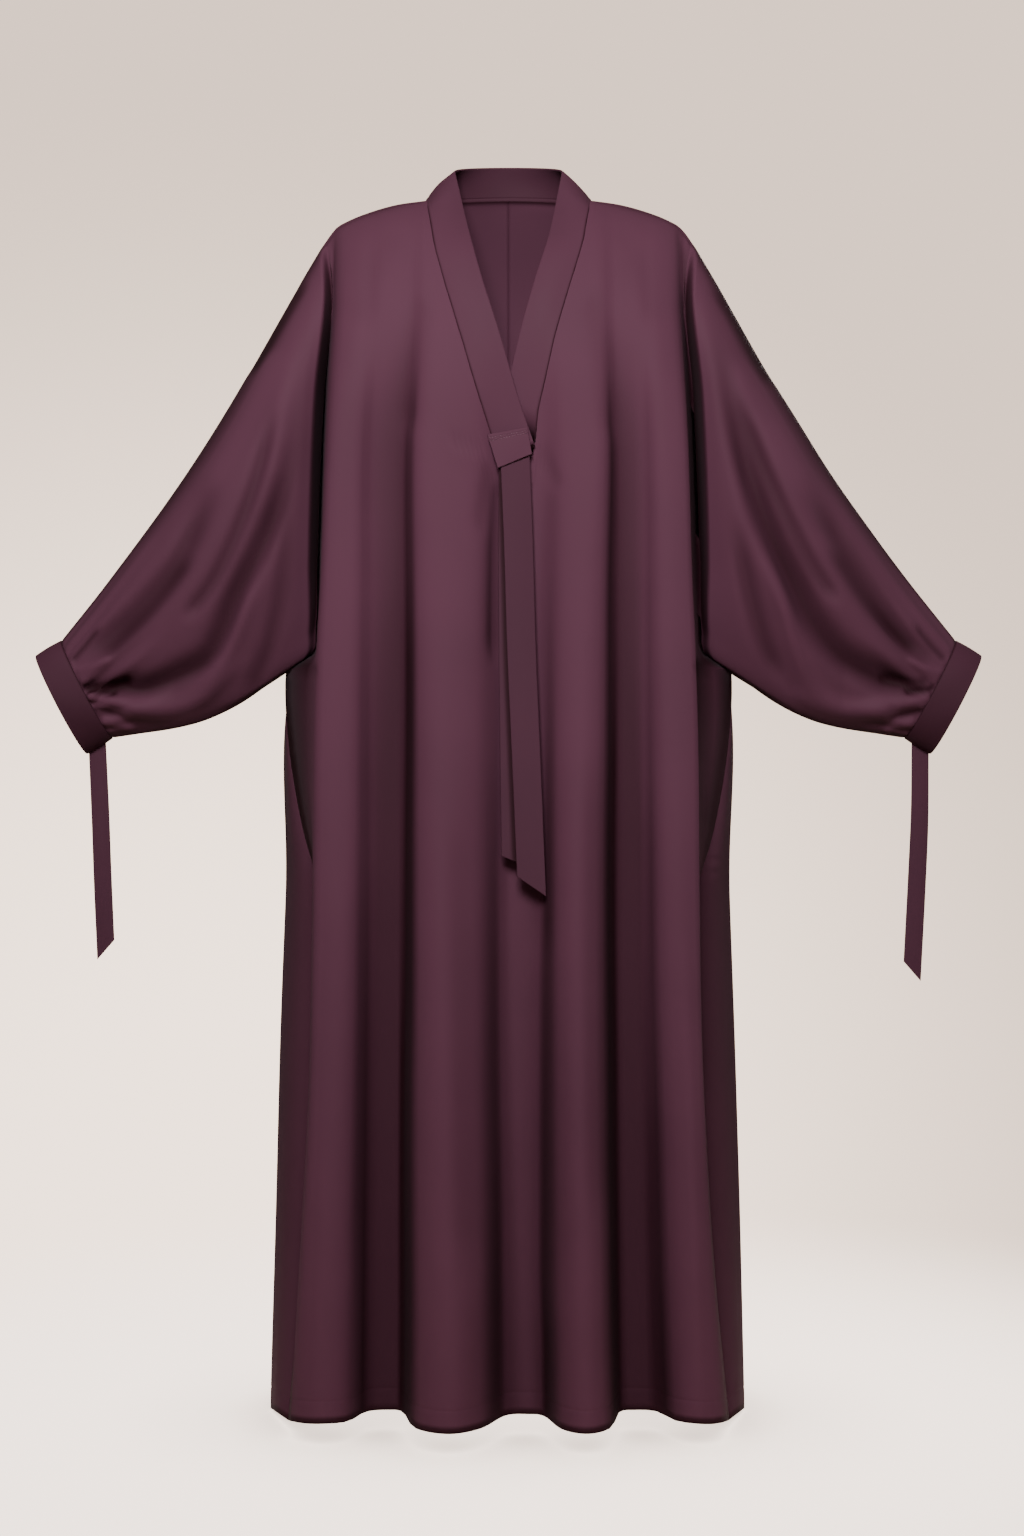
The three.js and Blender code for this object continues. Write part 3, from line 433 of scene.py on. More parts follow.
# Shadows on the floor: how far each reaches, and its share of the floor's brightness
FLOOR_SHADOWS = table(("reach", "share"), (0.22, 0.5), (0.07, 0.42))
FLOOR_IN_SHADOW = 0.08
GLOW = {"direction": (-0.12, 0.985, -0.16), "near": 0.05, "far": 0.42, "bright": 0.98, "dim": 0.42}


class AbayaCloth(PropertyGroup):
    """Sizes and finish of the cloth."""

    thickness: FloatProperty(
        name="Cloth thickness", description="Thickness of one layer of the crepe",
        default=0.0012, min=0.0006, max=0.002, unit="LENGTH",
    )
    fold_thickness: FloatProperty(
        name="Folded thickness", description="Thickness of the band and cuffs, folded double",
        default=0.0026, min=0.0015, max=0.004, unit="LENGTH",
    )
    tie_thickness: FloatProperty(
        name="Tie thickness", description="Thickness of the pressed ties and the tab",
        default=0.0016, min=0.001, max=0.003, unit="LENGTH",
    )
    gather_height: FloatProperty(
        name="Gather height", description="Height of the gathers at the cuffs",
        default=0.0022, min=0.0, max=0.006, unit="LENGTH",
    )
    colour: FloatVectorProperty(
        name="Cloth colour", description="Base colour of the plum crepe",
        default=(0.086, 0.030, 0.052), subtype="COLOR", min=0.0, max=1.0,
    )
    thread_colour: FloatVectorProperty(
        name="Thread colour", description="Colour of the sewing thread",
        default=(0.17, 0.075, 0.11), subtype="COLOR", min=0.0, max=1.0,
    )
    # Painted shade: the colour the crepe is painted towards where it lies in shade, in folds, creases,
    # seams and edges
    painted_shade_colour: FloatVectorProperty(
        name="Fold colour", description="Base colour of the crepe deep in the folds",
        default=(0.019, 0.0036, 0.0072), subtype="COLOR", min=0.0, max=1.0,
    )
    roughness: FloatProperty(
        name="Roughness", description="Roughness of the satin face",
        default=0.72, min=0.2, max=1.0, subtype="FACTOR",
    )


class AbayaStudio(PropertyGroup):
    """The floor, the background and the light."""

    background: FloatVectorProperty(
        name="Background", description="Colour of the seamless background",
        default=(0.87, 0.675, 0.55), subtype="COLOR", min=0.0, max=1.0,
    )
    floor: FloatVectorProperty(
        name="Floor", description="Colour of the pale floor",
        default=(0.88, 0.725, 0.63), subtype="COLOR", min=0.0, max=1.0,
    )
    brightness: FloatProperty(
        name="Brightness", description="Brightness of the background and floor as the camera sees them",
        default=4.2, min=0.0, max=10.0,
    )
    ambient: FloatProperty(
        name="Ambient", description="Brightness of the surroundings that light the garment",
        default=0.14, min=0.0, max=2.0,
    )
    key_power: FloatProperty(
        name="Key light", description="Power of the soft light in front, above and a little to the left",
        default=27.5, min=0.0, max=1000.0, unit="POWER",
    )
    fill_power: FloatProperty(
        name="Fill light", description="Power of the weak light from the front right",
        default=4.0, min=0.0, max=1000.0, unit="POWER",
    )
    side_power: FloatProperty(
        name="Side lights", description="Power of the soft light on the left; the right one is stronger",
        default=4.5, min=0.0, max=1000.0, unit="POWER",
    )
    back_power: FloatProperty(
        name="Back light", description="Power of the soft light behind the garment",
        default=26.0, min=0.0, max=1000.0, unit="POWER",
    )


def smooth(low, high, value):
    """Ease from 0 at low to 1 at high."""
    t = np.clip((value - low) / (high - low), 0.0, 1.0)
    return t * t * (3 - 2 * t)


def mix(a, b, t):
    """Blend from a to b."""
    return a + (b - a) * t


def curve(stations, values, at):
    """Smooth curve through the values at the stations, held level past both ends."""
    xs = np.asarray(stations, float)
    ys = np.asarray(values, float)
    at = np.asarray(at, float)
    if xs[0] > xs[-1]:
        xs = -xs
        at = -at
    slopes = np.diff(ys) / np.diff(xs)
    tangents = np.concatenate((slopes[:1], (slopes[:-1] + slopes[1:]) / 2, slopes[-1:]))
    at = np.clip(at, xs[0], xs[-1])
    k = np.clip(np.searchsorted(xs, at, side="right") - 1, 0, len(xs) - 2)
    span = xs[k + 1] - xs[k]
    t = (at - xs[k]) / span
    a = tangents[k] * span
    b = tangents[k + 1] * span
    rise = ys[k + 1] - ys[k]
    return ys[k] + t * (a + t * (3 * rise - 2 * a - b + t * (a + b - 2 * rise)))


def catmull(a, b, c, d, t):
    """Catmull-Rom spline between b and c."""
    return (2 * b + t * (c - a + t * (2 * a - 5 * b + 4 * c - d + t * (3 * b - a - 3 * c + d)))) / 2


def roll(drop, reach, power):
    """How far the cloth has rolled over the shoulder to its full depth at a drop below it."""
    return np.sin((math.pi / 2) * np.clip(drop / reach, 0.0, 1.0) ** power)


def ridge(x):
    """Height of the shoulder seam."""
    return curve(SHOULDER_LINE["x"], SHOULDER_LINE["z"], np.abs(x))


def top_of(face, x):
    """Height of a face's top edge: the shoulder seam, the V seam or the back neck seam."""
    inside = np.abs(x) < NECK_HALF
    if face == "front":
        return np.where(inside, np.interp(x, V_SEAM["x"], V_SEAM["z"]), ridge(x))
    return ridge(x) + np.where(inside, BACK_NECK_RISE * (1 - (x / NECK_HALF) ** 2), 0.0)


def row_share(rows):
    """Shares from 0 to 1, close together at both ends."""
    return (1 - np.cos(np.linspace(0, math.pi, rows + 1))) / 2


def between(a, b, along, rise):
    """A fold line part of the way from one line to another, in x and y."""
    return {
        "name": "wall",
        "soft": 0,
        "hem": mix(a["hem"], b["hem"], along),
        "x": [mix(p, q, along) for p, q in zip(a["x"], b["x"])],
        "y": [mix(p, q, rise) for p, q in zip(a["y"], b["y"])],
    }


def walled(lines):
    """Fold lines with a brow and a foot at each wall between a crest and a trough, so the wall is steep."""
    full = []
    for k, line in enumerate(lines):
        if not line["name"].startswith("slope"):
            full.append(line)
            after = lines[k + 1] if k + 1 < len(lines) else None
            names = line["name"] + after["name"] if after else ""
            if "crest" not in names or "trough" not in names:
                continue
            trough, crest = (line, after) if "trough" in line["name"] else (after, line)
            slope = between(trough, crest, BACK_WALL_PLACE, 0.5)
        else:
            pair = (lines[k - 1], lines[k + 1])
            trough, crest = pair if "trough" in pair[0]["name"] else pair[::-1]
            slope = line
        brow_place = WALL_BROW["along"] + WALL_BROW["softening"] * slope["soft"]
        foot_place = WALL_FOOT["along"] + WALL_FOOT["softening"] * slope["soft"]
        brow = between(slope, crest, brow_place, WALL_BROW["rise"])
        foot = between(slope, trough, foot_place, WALL_FOOT["rise"])
        rising = brow["x"][-1] > foot["x"][-1]
        full += [foot, brow] if rising == (lines[-1]["x"][0] > lines[0]["x"][0]) else [brow, foot]
    return full


LINES = {"front": walled(FRONT_LINES), "back": walled(BACK_LINES)}
LAST_LINE = {face: len(lines) + 1 for face, lines in LINES.items()}
CREASES = {"front": FRONT_CREASES, "back": BACK_CREASES}
SLEEVE_CREASES = {-1: LEFT_SLEEVE_CREASES, 1: RIGHT_SLEEVE_CREASES}
OUTWARD = {"front": -1, "back": 1}


def side_point(face, side, z):
    """The armhole fold or side seam of a face."""
    return side * curve(SIDE_LINE["z"], SIDE_LINE["x"], z), curve(SIDE_LINE["z"], SIDE_LINE[face], z)


def line_point(line, z):
    """Where a fold line is at a height."""
    return curve(LEVELS, line["x"], z), curve(LEVELS, line["y"], z)


def section(face, z):
    """Control points of the sections at the given heights, one row of arrays for each line."""
    front = face == "front"
    others = LINES["back" if front else "front"]
    first = side_point(face, -1 if front else 1, z)
    last = side_point(face, 1 if front else -1, z)
    inner = [line_point(line, z) for line in LINES[face]]
    below = smooth(*SIDE_SEAM_START, z)

    def beyond(end, near, other):
        return mix(2 * end[0] - near[0], other[0], below), mix(near[1], other[1], below)

    before = beyond(first, inner[0], line_point(others[-1], z))
    after = beyond(last, inner[-1], line_point(others[0], z))
    points = [before, first, *inner, last, after]
    return np.array([p[0] for p in points]), np.array([p[1] for p in points])


def body_points(face, u, z):
    """Points of the body cloth. u counts fold lines from the side where the face starts."""
    u, z = np.broadcast_arrays(np.asarray(u, float), np.asarray(z, float))
    places = u.ravel()
    heights = z.ravel()
    xs, ys = section(face, heights)
    k = np.clip(np.floor(places).astype(int), 0, len(xs) - 4)
    n = np.arange(places.size)
    t = places - k
    x = catmull(*(xs[k + i, n] for i in range(4)), t)
    depth = catmull(*(ys[k + i, n] for i in range(4)), t)
    if face == "front":
        y = depth * roll(ridge(x) - heights, FRONT_ROLL, ROLL_POWER)
    else:
        oval = np.sqrt(np.clip(1 - (x / NECK_HALF) ** 2, 0.0, 1.0))
        inside = smooth(NECK_HALF, NECK_HALF * 0.6, np.abs(x))
        rise = ridge(x) + BACK_NECK_RISE * oval * oval
        share = roll(rise - heights, BACK_ROLL, mix(ROLL_POWER, NECK_ROLL_POWER, inside))
        y = mix(BACK_NECK_DEPTH * oval, depth, share)
    return np.stack((x, y, heights), axis=-1).reshape(*u.shape, 3)


def column_at(face, x):
    """Place u at which a face's section crosses each x at the shoulder."""
    x = np.asarray(x, float)
    rising = 1 if face == "front" else -1
    low = np.zeros_like(x)
    high = np.full_like(x, LAST_LINE[face])
    for _ in range(SEARCH_STEPS):
        middle = (low + high) / 2
        short = rising * (body_points(face, middle, -SHOULDER_DROP)[..., 0] - x) < 0
        low = np.where(short, middle, low)
        high = np.where(short, high, middle)
    return (low + high) / 2


def front_columns():
    """Places and top x of the front's columns, from the left shoulder point to the right one."""
    shoulder = np.linspace(SHOULDER_HALF, NECK_HALF, SHOULDER_STEPS + 1)
    left = column_at("front", -shoulder)
    right = column_at("front", shoulder[::-1])
    left[0] = 0.0
    right[-1] = LAST_LINE["front"]
    stops = [left[-1], *column_at("front", [V_FOOT["left"], V_FOOT["right"]]), right[0]]
    parts = [np.linspace(a, b, round((b - a) * FRONT_DENSITY) + 1)[1:] for a, b in zip(stops, stops[1:])]
    middle = np.concatenate(parts)[:-1]
    tops = body_points("front", middle, -SHOULDER_DROP)[:, 0]
    return np.concatenate((left, middle, right)), np.concatenate((-shoulder, tops, shoulder[::-1]))


def back_columns(side):
    """Places and top x of one back half's columns, in the order of the section."""
    shoulder = np.linspace(SHOULDER_HALF, NECK_HALF, SHOULDER_STEPS + 1)
    neck = NECK_HALF * np.cos(np.linspace(0, math.pi / 2, BACK_NECK_STEPS + 1))[1:]
    tops = side * np.concatenate((shoulder, neck))
    places = column_at("back", tops)
    places[0] = 0.0 if side > 0 else LAST_LINE["back"]
    if side > 0:
        return places, tops
    return places[::-1], tops[::-1]


def hem_of(face, u):
    """Height of the hem at each place."""
    hems = (HEM_SIDE_Z, *(line["hem"] for line in LINES[face]), HEM_SIDE_Z)
    return curve(range(len(hems)), hems, u)


def line_distance(x, z, xs, zs):
    """Distance to a bent line, and the share of its length at the nearest point."""
    nearest = np.full(x.shape, np.inf)
    share = np.zeros(x.shape)
    parts = len(xs) - 1
    for k in range(parts):
        dx = xs[k + 1] - xs[k]
        dz = zs[k + 1] - zs[k]
        t = np.clip(((x - xs[k]) * dx + (z - zs[k]) * dz) / (dx * dx + dz * dz), 0.0, 1.0)
        gap = np.hypot(x - xs[k] - t * dx, z - zs[k] - t * dz)
        closer = gap < nearest
        share = np.where(closer, (k + t) / parts, share)
        nearest = np.where(closer, gap, nearest)
    return nearest, share


def smooth_line(xs, zs):
    """A bent line drawn finely as a smooth curve."""
    stations = np.arange(len(xs))
    at = np.linspace(0, len(xs) - 1, LINE_STEPS + 1)
    return curve(stations, xs, at), curve(stations, zs, at)


def fold_sum(folds, key, x, z):
    """Sum of the soft folds at each place, each fading out at its ends."""
    total = np.zeros(x.shape)
    for fold in folds:
        nearest, share = line_distance(x, z, *smooth_line(fold["x"], fold["z"]))
        ends = smooth(0, 0.2, share) * smooth(1, 0.86, share)
        total += fold[key] * ends * np.exp(-((nearest / fold["width"]) ** 2))
    return total


def sleeve_points(face, side, gather_height):
    """Points of a sleeve face, from the armhole to the cuff and from the overarm to the underarm."""
    t = row_share(SLEEVE_STATIONS)[:, None]
    share = row_share(SLEEVE_ROWS)[None, :]
    row = np.linspace(0, 1, SLEEVE_ROWS + 1)[None, :]
    over_x = curve(OVERARM["t"], OVERARM["x"], t)
    over_z = mix(-SHOULDER_DROP, OVERARM_END_Z, t)
    under_x = mix(UNDERARM_HALF, UNDERARM["x"][-1], t)
    under_z = curve(UNDERARM["x"], UNDERARM["z"], under_x)
    armhole_z = mix(-SHOULDER_DROP, UNDERARM_Z, share)
    armhole = body_points(face, 0.0 if face == "front" else LAST_LINE["back"], armhole_z)
    off = np.abs(armhole[..., 0]) - mix(SHOULDER_HALF, UNDERARM_HALF, share)
    x = -(mix(over_x, under_x, share) + off * (1 - t) ** 3)
    z = mix(over_z, under_z, share)
    hanging = np.sin(math.pi * share**HANG_POWER)
    rounded = 2 * np.sqrt(share * (1 - share))
    girth = mix(hanging, rounded, np.maximum(UNDERARM_ROUND, smooth(*ROUNDING, t)))
    depth = curve(SLEEVE_DEPTH["t"], SLEEVE_DEPTH[face], t) * girth
    clear = smooth(*FOLDS_BEGIN, t) * smooth(*FOLDS_END, t) * girth
    depth = depth - fold_sum(SLEEVE_FOLDS[side], "depth", -side * x, z) * clear * FOLD_STRENGTH[face]
    phase = row + 0.02 * np.sin(11 * row + side) + 0.012 * np.sin(23 * row)
    gathers = np.cos(2 * math.pi * GATHER_COUNT * phase) * (0.8 + 0.35 * np.sin(7 * row + 2 * side))
    gathered = smooth(*GATHERS_BEGIN, t) * smooth(*GATHERS_END, t)
    depth = depth + gather_height * gathered * rounded * gathers
    seam_y = body_points("front", 0.0, UNDERARM_Z)[1] * share * (1 - t)
    rise = sum(turn["share"] * smooth(turn["start"], turn["end"], t) for turn in ARMHOLE_TURN)
    y = mix(armhole[..., 1], seam_y + OUTWARD[face] * depth, rise)
    x, y, z = np.broadcast_arrays(-side * x, y, z)
    return np.stack((x, y, z), axis=-1)


def unit(vectors):
    """Vectors made one long."""
    return vectors / np.maximum(np.linalg.norm(vectors, axis=-1, keepdims=True), 1e-9)


def grid_normals(points, loop=False):
    """Normals of a grid of points. A loop joins its last line to its first."""
    if loop:
        padded = np.concatenate((points[-1:], points, points[:1]))
        along = np.gradient(padded, axis=0)[1:-1]
    else:
        along = np.gradient(points, axis=0)
    return unit(np.cross(along, np.gradient(points, axis=1)))


def outward_normals(points, outward):
    """Normals of a sheet's grid, turned away from the wearer."""
    normals = grid_normals(points)
    return normals * np.sign(np.sum(normals[..., 1])) * outward


def run_length(points, axis, backwards=False):
    """Length along the grid lines from their first or last point."""
    steps = np.linalg.norm(np.diff(points, axis=axis), axis=-1)
    pad = [(0, 0), (0, 0)]
    pad[axis] = (0, 1) if backwards else (1, 0)
    steps = np.pad(steps, pad)
    if backwards:
        return np.flip(np.cumsum(np.flip(steps, axis), axis=axis), axis)
    return np.cumsum(steps, axis=axis)


def dip(distance, depth=SEAM_DIP, reach=SEAM_REACH):
    """How far cloth sinks towards a seam."""
    return -depth * np.exp(-((distance / reach) ** 2))


def line_dip(distance, at, depth, width=1.4):
    """A pressed or stitched line at a distance from an edge."""
    return -depth * np.exp(-(((distance - at) / width) ** 2))


def ripple(x, z, seed):
    """Slow uneven swells of the cloth, under a millimetre high."""
    swell = np.sin(x / 31 + 0.8 * np.sin(z / 90 + seed) + seed) * np.sin(z / 118 + 0.6 * seed)
    return 0.5 * swell + 0.3 * np.sin(x / 17 - z / 61 + 2.1 * seed)


def face_grids(face, columns, sides, gather_height):
    """The upper grid, sleeves included, and the lower grid of one sheet, with small relief added."""
    places, tops = columns
    at_shoulder = np.abs(tops) >= NECK_HALF
    top = top_of(face, tops)
    share = row_share(SLEEVE_ROWS)
    z = mix(top[:, None], UNDERARM_Z, share[None, :])
    upper = body_points(face, places[:, None], z)
    shift = np.where(at_shoulder, tops - upper[:, 0, 0], 0.0)
    upper[..., 0] += shift[:, None] * smooth(SHOULDER_EASE, 0, top[:, None] - z)
    upper[at_shoulder, 0, 1] = 0.0
    hem = hem_of(face, places)[:, None]
    bottom = hem + HEM_ROWS[0]
    even = mix(UNDERARM_Z, bottom, np.linspace(0, 1, BODY_ROWS + 1)[None, :])
    lower = body_points(face, places[:, None], np.concatenate((even, hem + np.array(HEM_ROWS[1:])), axis=1))
    body_first = 0
    first_side = OUTWARD[face]
    if first_side in sides:
        sleeve = sleeve_points(face, first_side, gather_height)
        upper = np.concatenate((sleeve[:0:-1], upper))
        body_first = SLEEVE_STATIONS
    if -first_side in sides:
        sleeve = sleeve_points(face, -first_side, gather_height)
        upper = np.concatenate((upper, sleeve[1:]))
    body = slice(body_first, body_first + len(places))
    return upper, lower, body


def add_relief(face, upper, lower, body, sides):
    """Sinks the seams and stitch lines and adds creases, along the cloth's own normals."""
    front = face == "front"
    seed = RIPPLE_SEED[face]
    creases = CREASES[face]
    outward = OUTWARD[face]
    column = np.arange(len(upper))
    sleeve_side = np.where(column < body.start, outward, np.where(column >= body.stop, -outward, 0))
    normals = outward_normals(upper, outward)
    x, z = upper[..., 0], upper[..., 2]
    from_top = run_length(upper, 1)
    from_foot = run_length(upper, 1, backwards=True)
    on_sleeve = sleeve_side != 0
    height = dip(from_top)
    height += np.where(on_sleeve[:, None], dip(from_foot), 0.0)
    if outward in sides:
        height += dip(run_length(upper, 0)) * (column < body.start)[:, None]
    if -outward in sides:
        height += dip(run_length(upper, 0, backwards=True)) * (column >= body.stop)[:, None]
    away = np.abs(x)
    if front:
        stitched = smooth(*NECK_FADE, away) * smooth(*OVERARM_FADE, away)
        height += line_dip(from_top, OVERARM_STITCH_IN, OVERARM_STITCH_DEPTH) * stitched
    clear = smooth(0, SEAM_CLEARANCE, from_top)
    clear = clear * np.where(on_sleeve[:, None], smooth(0, SEAM_CLEARANCE, from_foot), 1.0)
    small = ripple(x, z, seed)
    small += fold_sum(creases, "height", x, z) * smooth(*BODY_FADE, away)
    for side in sides:
        own = (sleeve_side == side)[:, None]
        creased = fold_sum(SLEEVE_CREASES[side], "height", x, z) * CREASE_STRENGTH[face]
        creased = creased * smooth(*SLEEVE_FADE, away)
        small += np.where(own, creased, 0.0)
    upper = upper + normals * (height + small * clear)[..., None]

    normals = outward_normals(lower, outward)
    x, z = lower[..., 0], lower[..., 2]
    height = np.zeros(x.shape)
    clear = np.ones(x.shape)
    for side in sides:
        backwards = (side > 0) == front
        gap = run_length(lower, 0, backwards=backwards)
        height += dip(gap, SIDE_SEAM_DIP)
        clear = clear * smooth(0, SIDE_CLEARANCE, gap)
    if not front:
        gap = run_length(lower, 0, backwards=sides[0] > 0)
        height += dip(gap)
        clear = clear * smooth(0, SIDE_CLEARANCE, gap)
    height += line_dip(run_length(lower, 1, backwards=True), HEM_TURN_UP, HEM_STITCH_DEPTH)
    small = ripple(x, z, seed) + fold_sum(creases, "height", x, z)
    lower = lower + normals * (height + small * clear)[..., None]
    lower[:, 0] = upper[body, -1]
    return upper, lower


def softened(points, axis):
    """Points averaged with their neighbours along one direction of the grid, again and again."""
    points = np.moveaxis(points, axis, 0)
    for _ in range(AVERAGING_PASSES):
        padded = np.concatenate((points[:1], points, points[-1:]))
        points = (padded[:-2] + 2 * points + padded[2:]) / 4
    return np.moveaxis(points, 0, axis)


def hollow(points, outward, on_sleeve):
    """Painted shade at each point, from 0 on the crests to 1 in the deep troughs, by how deep it lies in a
    fold; walls turned away from the front get painted shade too.
    """
    normals = outward_normals(points, outward)
    across = np.sum((softened(points, 0) - points) * normals, axis=-1)
    along = np.sum((softened(points, 1) - points) * normals, axis=-1)
    depth = mix(across, along, on_sleeve[:, None])
    facing = normals[..., 1] * outward
    wall = smooth(*WALL_FACING, facing) * smooth(*WALL_DEPTH, depth)
    return np.clip(TROUGH_SHADE * smooth(FOLD_START, FOLD_END, depth) + wall, 0.0, 1.0)


def seam_shade(name, distance):
    """How much shade is painted on the cloth at a distance from a seam."""
    seam = SEAM_SHADES[name]
    return seam["shade"] * np.exp(-((distance / seam["reach"]) ** 2))


def quads_of(index):
    """Quads between neighbours in a grid of point numbers."""
    corners = (index[:-1, :-1], index[1:, :-1], index[1:, 1:], index[:-1, 1:])
    return np.stack([corner.ravel() for corner in corners], axis=1).tolist()


def new_object(name, data):
    """An object in the scene that shows the data."""
    item = bpy.data.objects.new(name, data)
    bpy.context.scene.collection.objects.link(item)
    return item


def new_piece(name, points, faces, material, painted_shade=None):
    """A smooth shaded mesh object, built from millimetres."""
    mesh = bpy.data.meshes.new(name)
    mesh.from_pydata((np.asarray(points) * MM).tolist(), [], faces)
    mesh.validate()
    mesh.polygons.foreach_set("use_smooth", [True] * len(mesh.polygons))
    mesh.materials.append(material)
    # Painted shade, one value a point, by which the crepe's material darkens its colour
    if painted_shade is not None:
        layer = mesh.attributes.new("painted_shade", "FLOAT", "POINT")
        layer.data.foreach_set("value", painted_shade)
    return new_object(name, mesh)


def weld(piece):
    """Joins points that lie on each other and turns the faces outwards."""
    work = bmesh.new()
    work.from_mesh(piece.data)
    bmesh.ops.remove_doubles(work, verts=work.verts, dist=WELD_DISTANCE)
    bmesh.ops.dissolve_degenerate(work, edges=work.edges, dist=SHORTEST_EDGE)
    bmesh.ops.recalc_face_normals(work, faces=work.faces)
    work.to_mesh(piece.data)
    work.free()
    piece.data.update()


def upper_shade(face, upper, sides, on_sleeve):
    """Painted shade in the folds, creases and seams of a sheet's upper grid, painted lighter where folds
    and creases are raised.
    """
    x, z = upper[..., 0], upper[..., 2]
    away = np.abs(x)
    shade = hollow(upper, OUTWARD[face], on_sleeve)
    shade = shade - BODY_CREASE_SHADE * fold_sum(CREASES[face], "height", x, z) * smooth(*BODY_FADE, away)
    for side in sides:
        own = on_sleeve[:, None] * (x * side > 0)
        folds = SLEEVE_SHADE + fold_sum(SLEEVE_FOLDS[side], "shade", x, z)
        folds = folds - SLEEVE_CREASE_SHADE * fold_sum(SLEEVE_CREASES[side], "height", x, z)
        shade = (shade + folds * own).clip(0, 1)
        from_cuff = run_length(upper, 0, backwards=(side > 0) == (face == "front"))
        shade = np.maximum(shade, seam_shade("cuff seam on the sleeve", from_cuff))
    from_top = run_length(upper, 1)
    off_neck = smooth(*NECK_FADE, away)
    shade = np.maximum(shade, seam_shade("neck seam on the front", from_top) * (1 - off_neck))
    if face == "front":
        line = seam_shade("overarm line", from_top - OVERARM_STITCH_IN)
        shade = np.maximum(shade, line * off_neck)
    return shade


def lower_shade(face, lower, on_sleeve):
    """Painted shade in the folds, creases and along the hem of a sheet's lower grid."""
    shade = hollow(lower, OUTWARD[face], on_sleeve)
    creased = fold_sum(CREASES[face], "height", lower[..., 0], lower[..., 2])
    shade = (shade - BODY_CREASE_SHADE * creased).clip(0, 1)
    return np.maximum(shade, smooth(*HEM_EDGE_SHADE, run_length(lower, 1, backwards=True)))


def cloth_piece(name, face, columns, sides, cloth, material):
    """One sheet of cloth with its sleeves, as a thin shell."""
    upper, lower, body = face_grids(face, columns, sides, cloth.gather_height / MM)
    upper, lower = add_relief(face, upper, lower, body, sides)
    rows = upper.shape[1]
    below = lower[:, 1:]
    points = np.concatenate((upper.reshape(-1, 3), below.reshape(-1, 3)))
    upper_index = np.arange(upper.shape[0] * rows).reshape(-1, rows)
    below_index = upper_index.size + np.arange(below.shape[0] * below.shape[1]).reshape(below.shape[:2])
    joined = np.concatenate((upper_index[body, -1:], below_index), axis=1)
    on_sleeve = np.zeros(len(upper))
    on_sleeve[: body.start] = np.linspace(3, 0, body.start).clip(0, 1)
    on_sleeve[body.stop:] = np.linspace(0, 3, len(upper) - body.stop).clip(0, 1)
    # Painted shade of the sheet: its folds, creases, seams and hem edge
    high = upper_shade(face, upper, sides, on_sleeve)
    low = lower_shade(face, lower, on_sleeve[body])
    # Painted shade on the side panels under the sleeves, fading out above the underarm
    from_side = np.minimum(columns[0], LAST_LINE[face] - columns[0])
    panel = (SIDE_PANEL_SHADE * smooth(*SIDE_PANEL[face], from_side))[:, None]
    low = np.maximum(low, panel)
    near_underarm = smooth(UNDERARM_Z + SIDE_PANEL_RISE, UNDERARM_Z, upper[body, :, 2])
    high[body] = np.maximum(high[body], panel * near_underarm)
    painted_shades = np.concatenate((high.ravel(), low[:, 1:].ravel()))
    piece = new_piece(name, points, quads_of(upper_index) + quads_of(joined), material, painted_shades)
    weld(piece)
    shell = piece.modifiers.new("cloth thickness", "SOLIDIFY")
    shell.thickness = cloth.thickness
    shell.offset = 0.0
    shell.use_rim = True
    return piece


def folded_piece(name, middle, half, material, loop=False, groove=0.0, shade=None):
    """Cloth folded double about a middle surface, its two layers meeting in rounded edges."""
    normals = grid_normals(middle, loop)
    edge = np.minimum(run_length(middle, 1), run_length(middle, 1, backwards=True))
    if not loop:
        ends = np.minimum(run_length(middle, 0), run_length(middle, 0, backwards=True))
        edge = np.minimum(edge, ends)
    lift = half * np.sqrt(1 - (1 - np.clip(edge / half, 0.0, 1.0)) ** 2)
    lift = lift - np.minimum(groove, 0.8 * lift)
    outer = middle + normals * lift[..., None]
    inner = middle - normals * lift[..., None]
    ring = np.concatenate((outer, inner[:, -2:0:-1]), axis=1)
    lines, around = ring.shape[:2]
    index = np.arange(lines * around).reshape(lines, around)
    index = np.concatenate((index, index[:, :1]), axis=1)
    if loop:
        index = np.concatenate((index, index[:1]))
    painted_shades = None if shade is None else np.concatenate((shade, shade[:, -2:0:-1]), axis=1).ravel()
    piece = new_piece(name, ring.reshape(-1, 3), quads_of(index), material, painted_shades)
    weld(piece)
    return piece


def edge_shares(width, extra=()):
    """Shares across a folded strip, close together at its edges and at the extra places."""
    near = np.array(EDGE_STEPS) / width
    middle = np.linspace(near[-1], 1 - near[-1], STRIP_STEPS)[1:-1]
    added = [place / width + step / width for place in extra for step in GROOVE_STEPS]
    return np.unique(np.concatenate((near, middle, 1 - near, added)).clip(0, 1).round(5))


def strip_grid(starts, ends, shares, bulge=None):
    """Straight lines across from starts to ends, lifted along the bulge vectors in the middle."""
    grid = mix(starts[:, None], ends[:, None], shares[None, :, None])
    if bulge is not None:
        grid = grid + bulge[:, None] * np.sin(math.pi * shares)[None, :, None]
    return grid


def seam_points(face, columns):
    """The top edge of a face."""
    places, tops = columns
    z = top_of(face, tops)
    points = body_points(face, places, z)
    at_shoulder = np.abs(tops) >= NECK_HALF
    points[at_shoulder, 0] = tops[at_shoulder]
    points[at_shoulder, 1] = 0.0
    return points


def front_depth(x, z):
    """Depth of the front cloth at places on it."""
    low = np.zeros_like(x)
    high = np.full_like(x, LAST_LINE["front"])
    for _ in range(SEARCH_STEPS):
        middle = (low + high) / 2
        short = body_points("front", middle, z)[..., 0] < x
        low = np.where(short, middle, low)
        high = np.where(short, high, middle)
    return body_points("front", low, z)[..., 1]


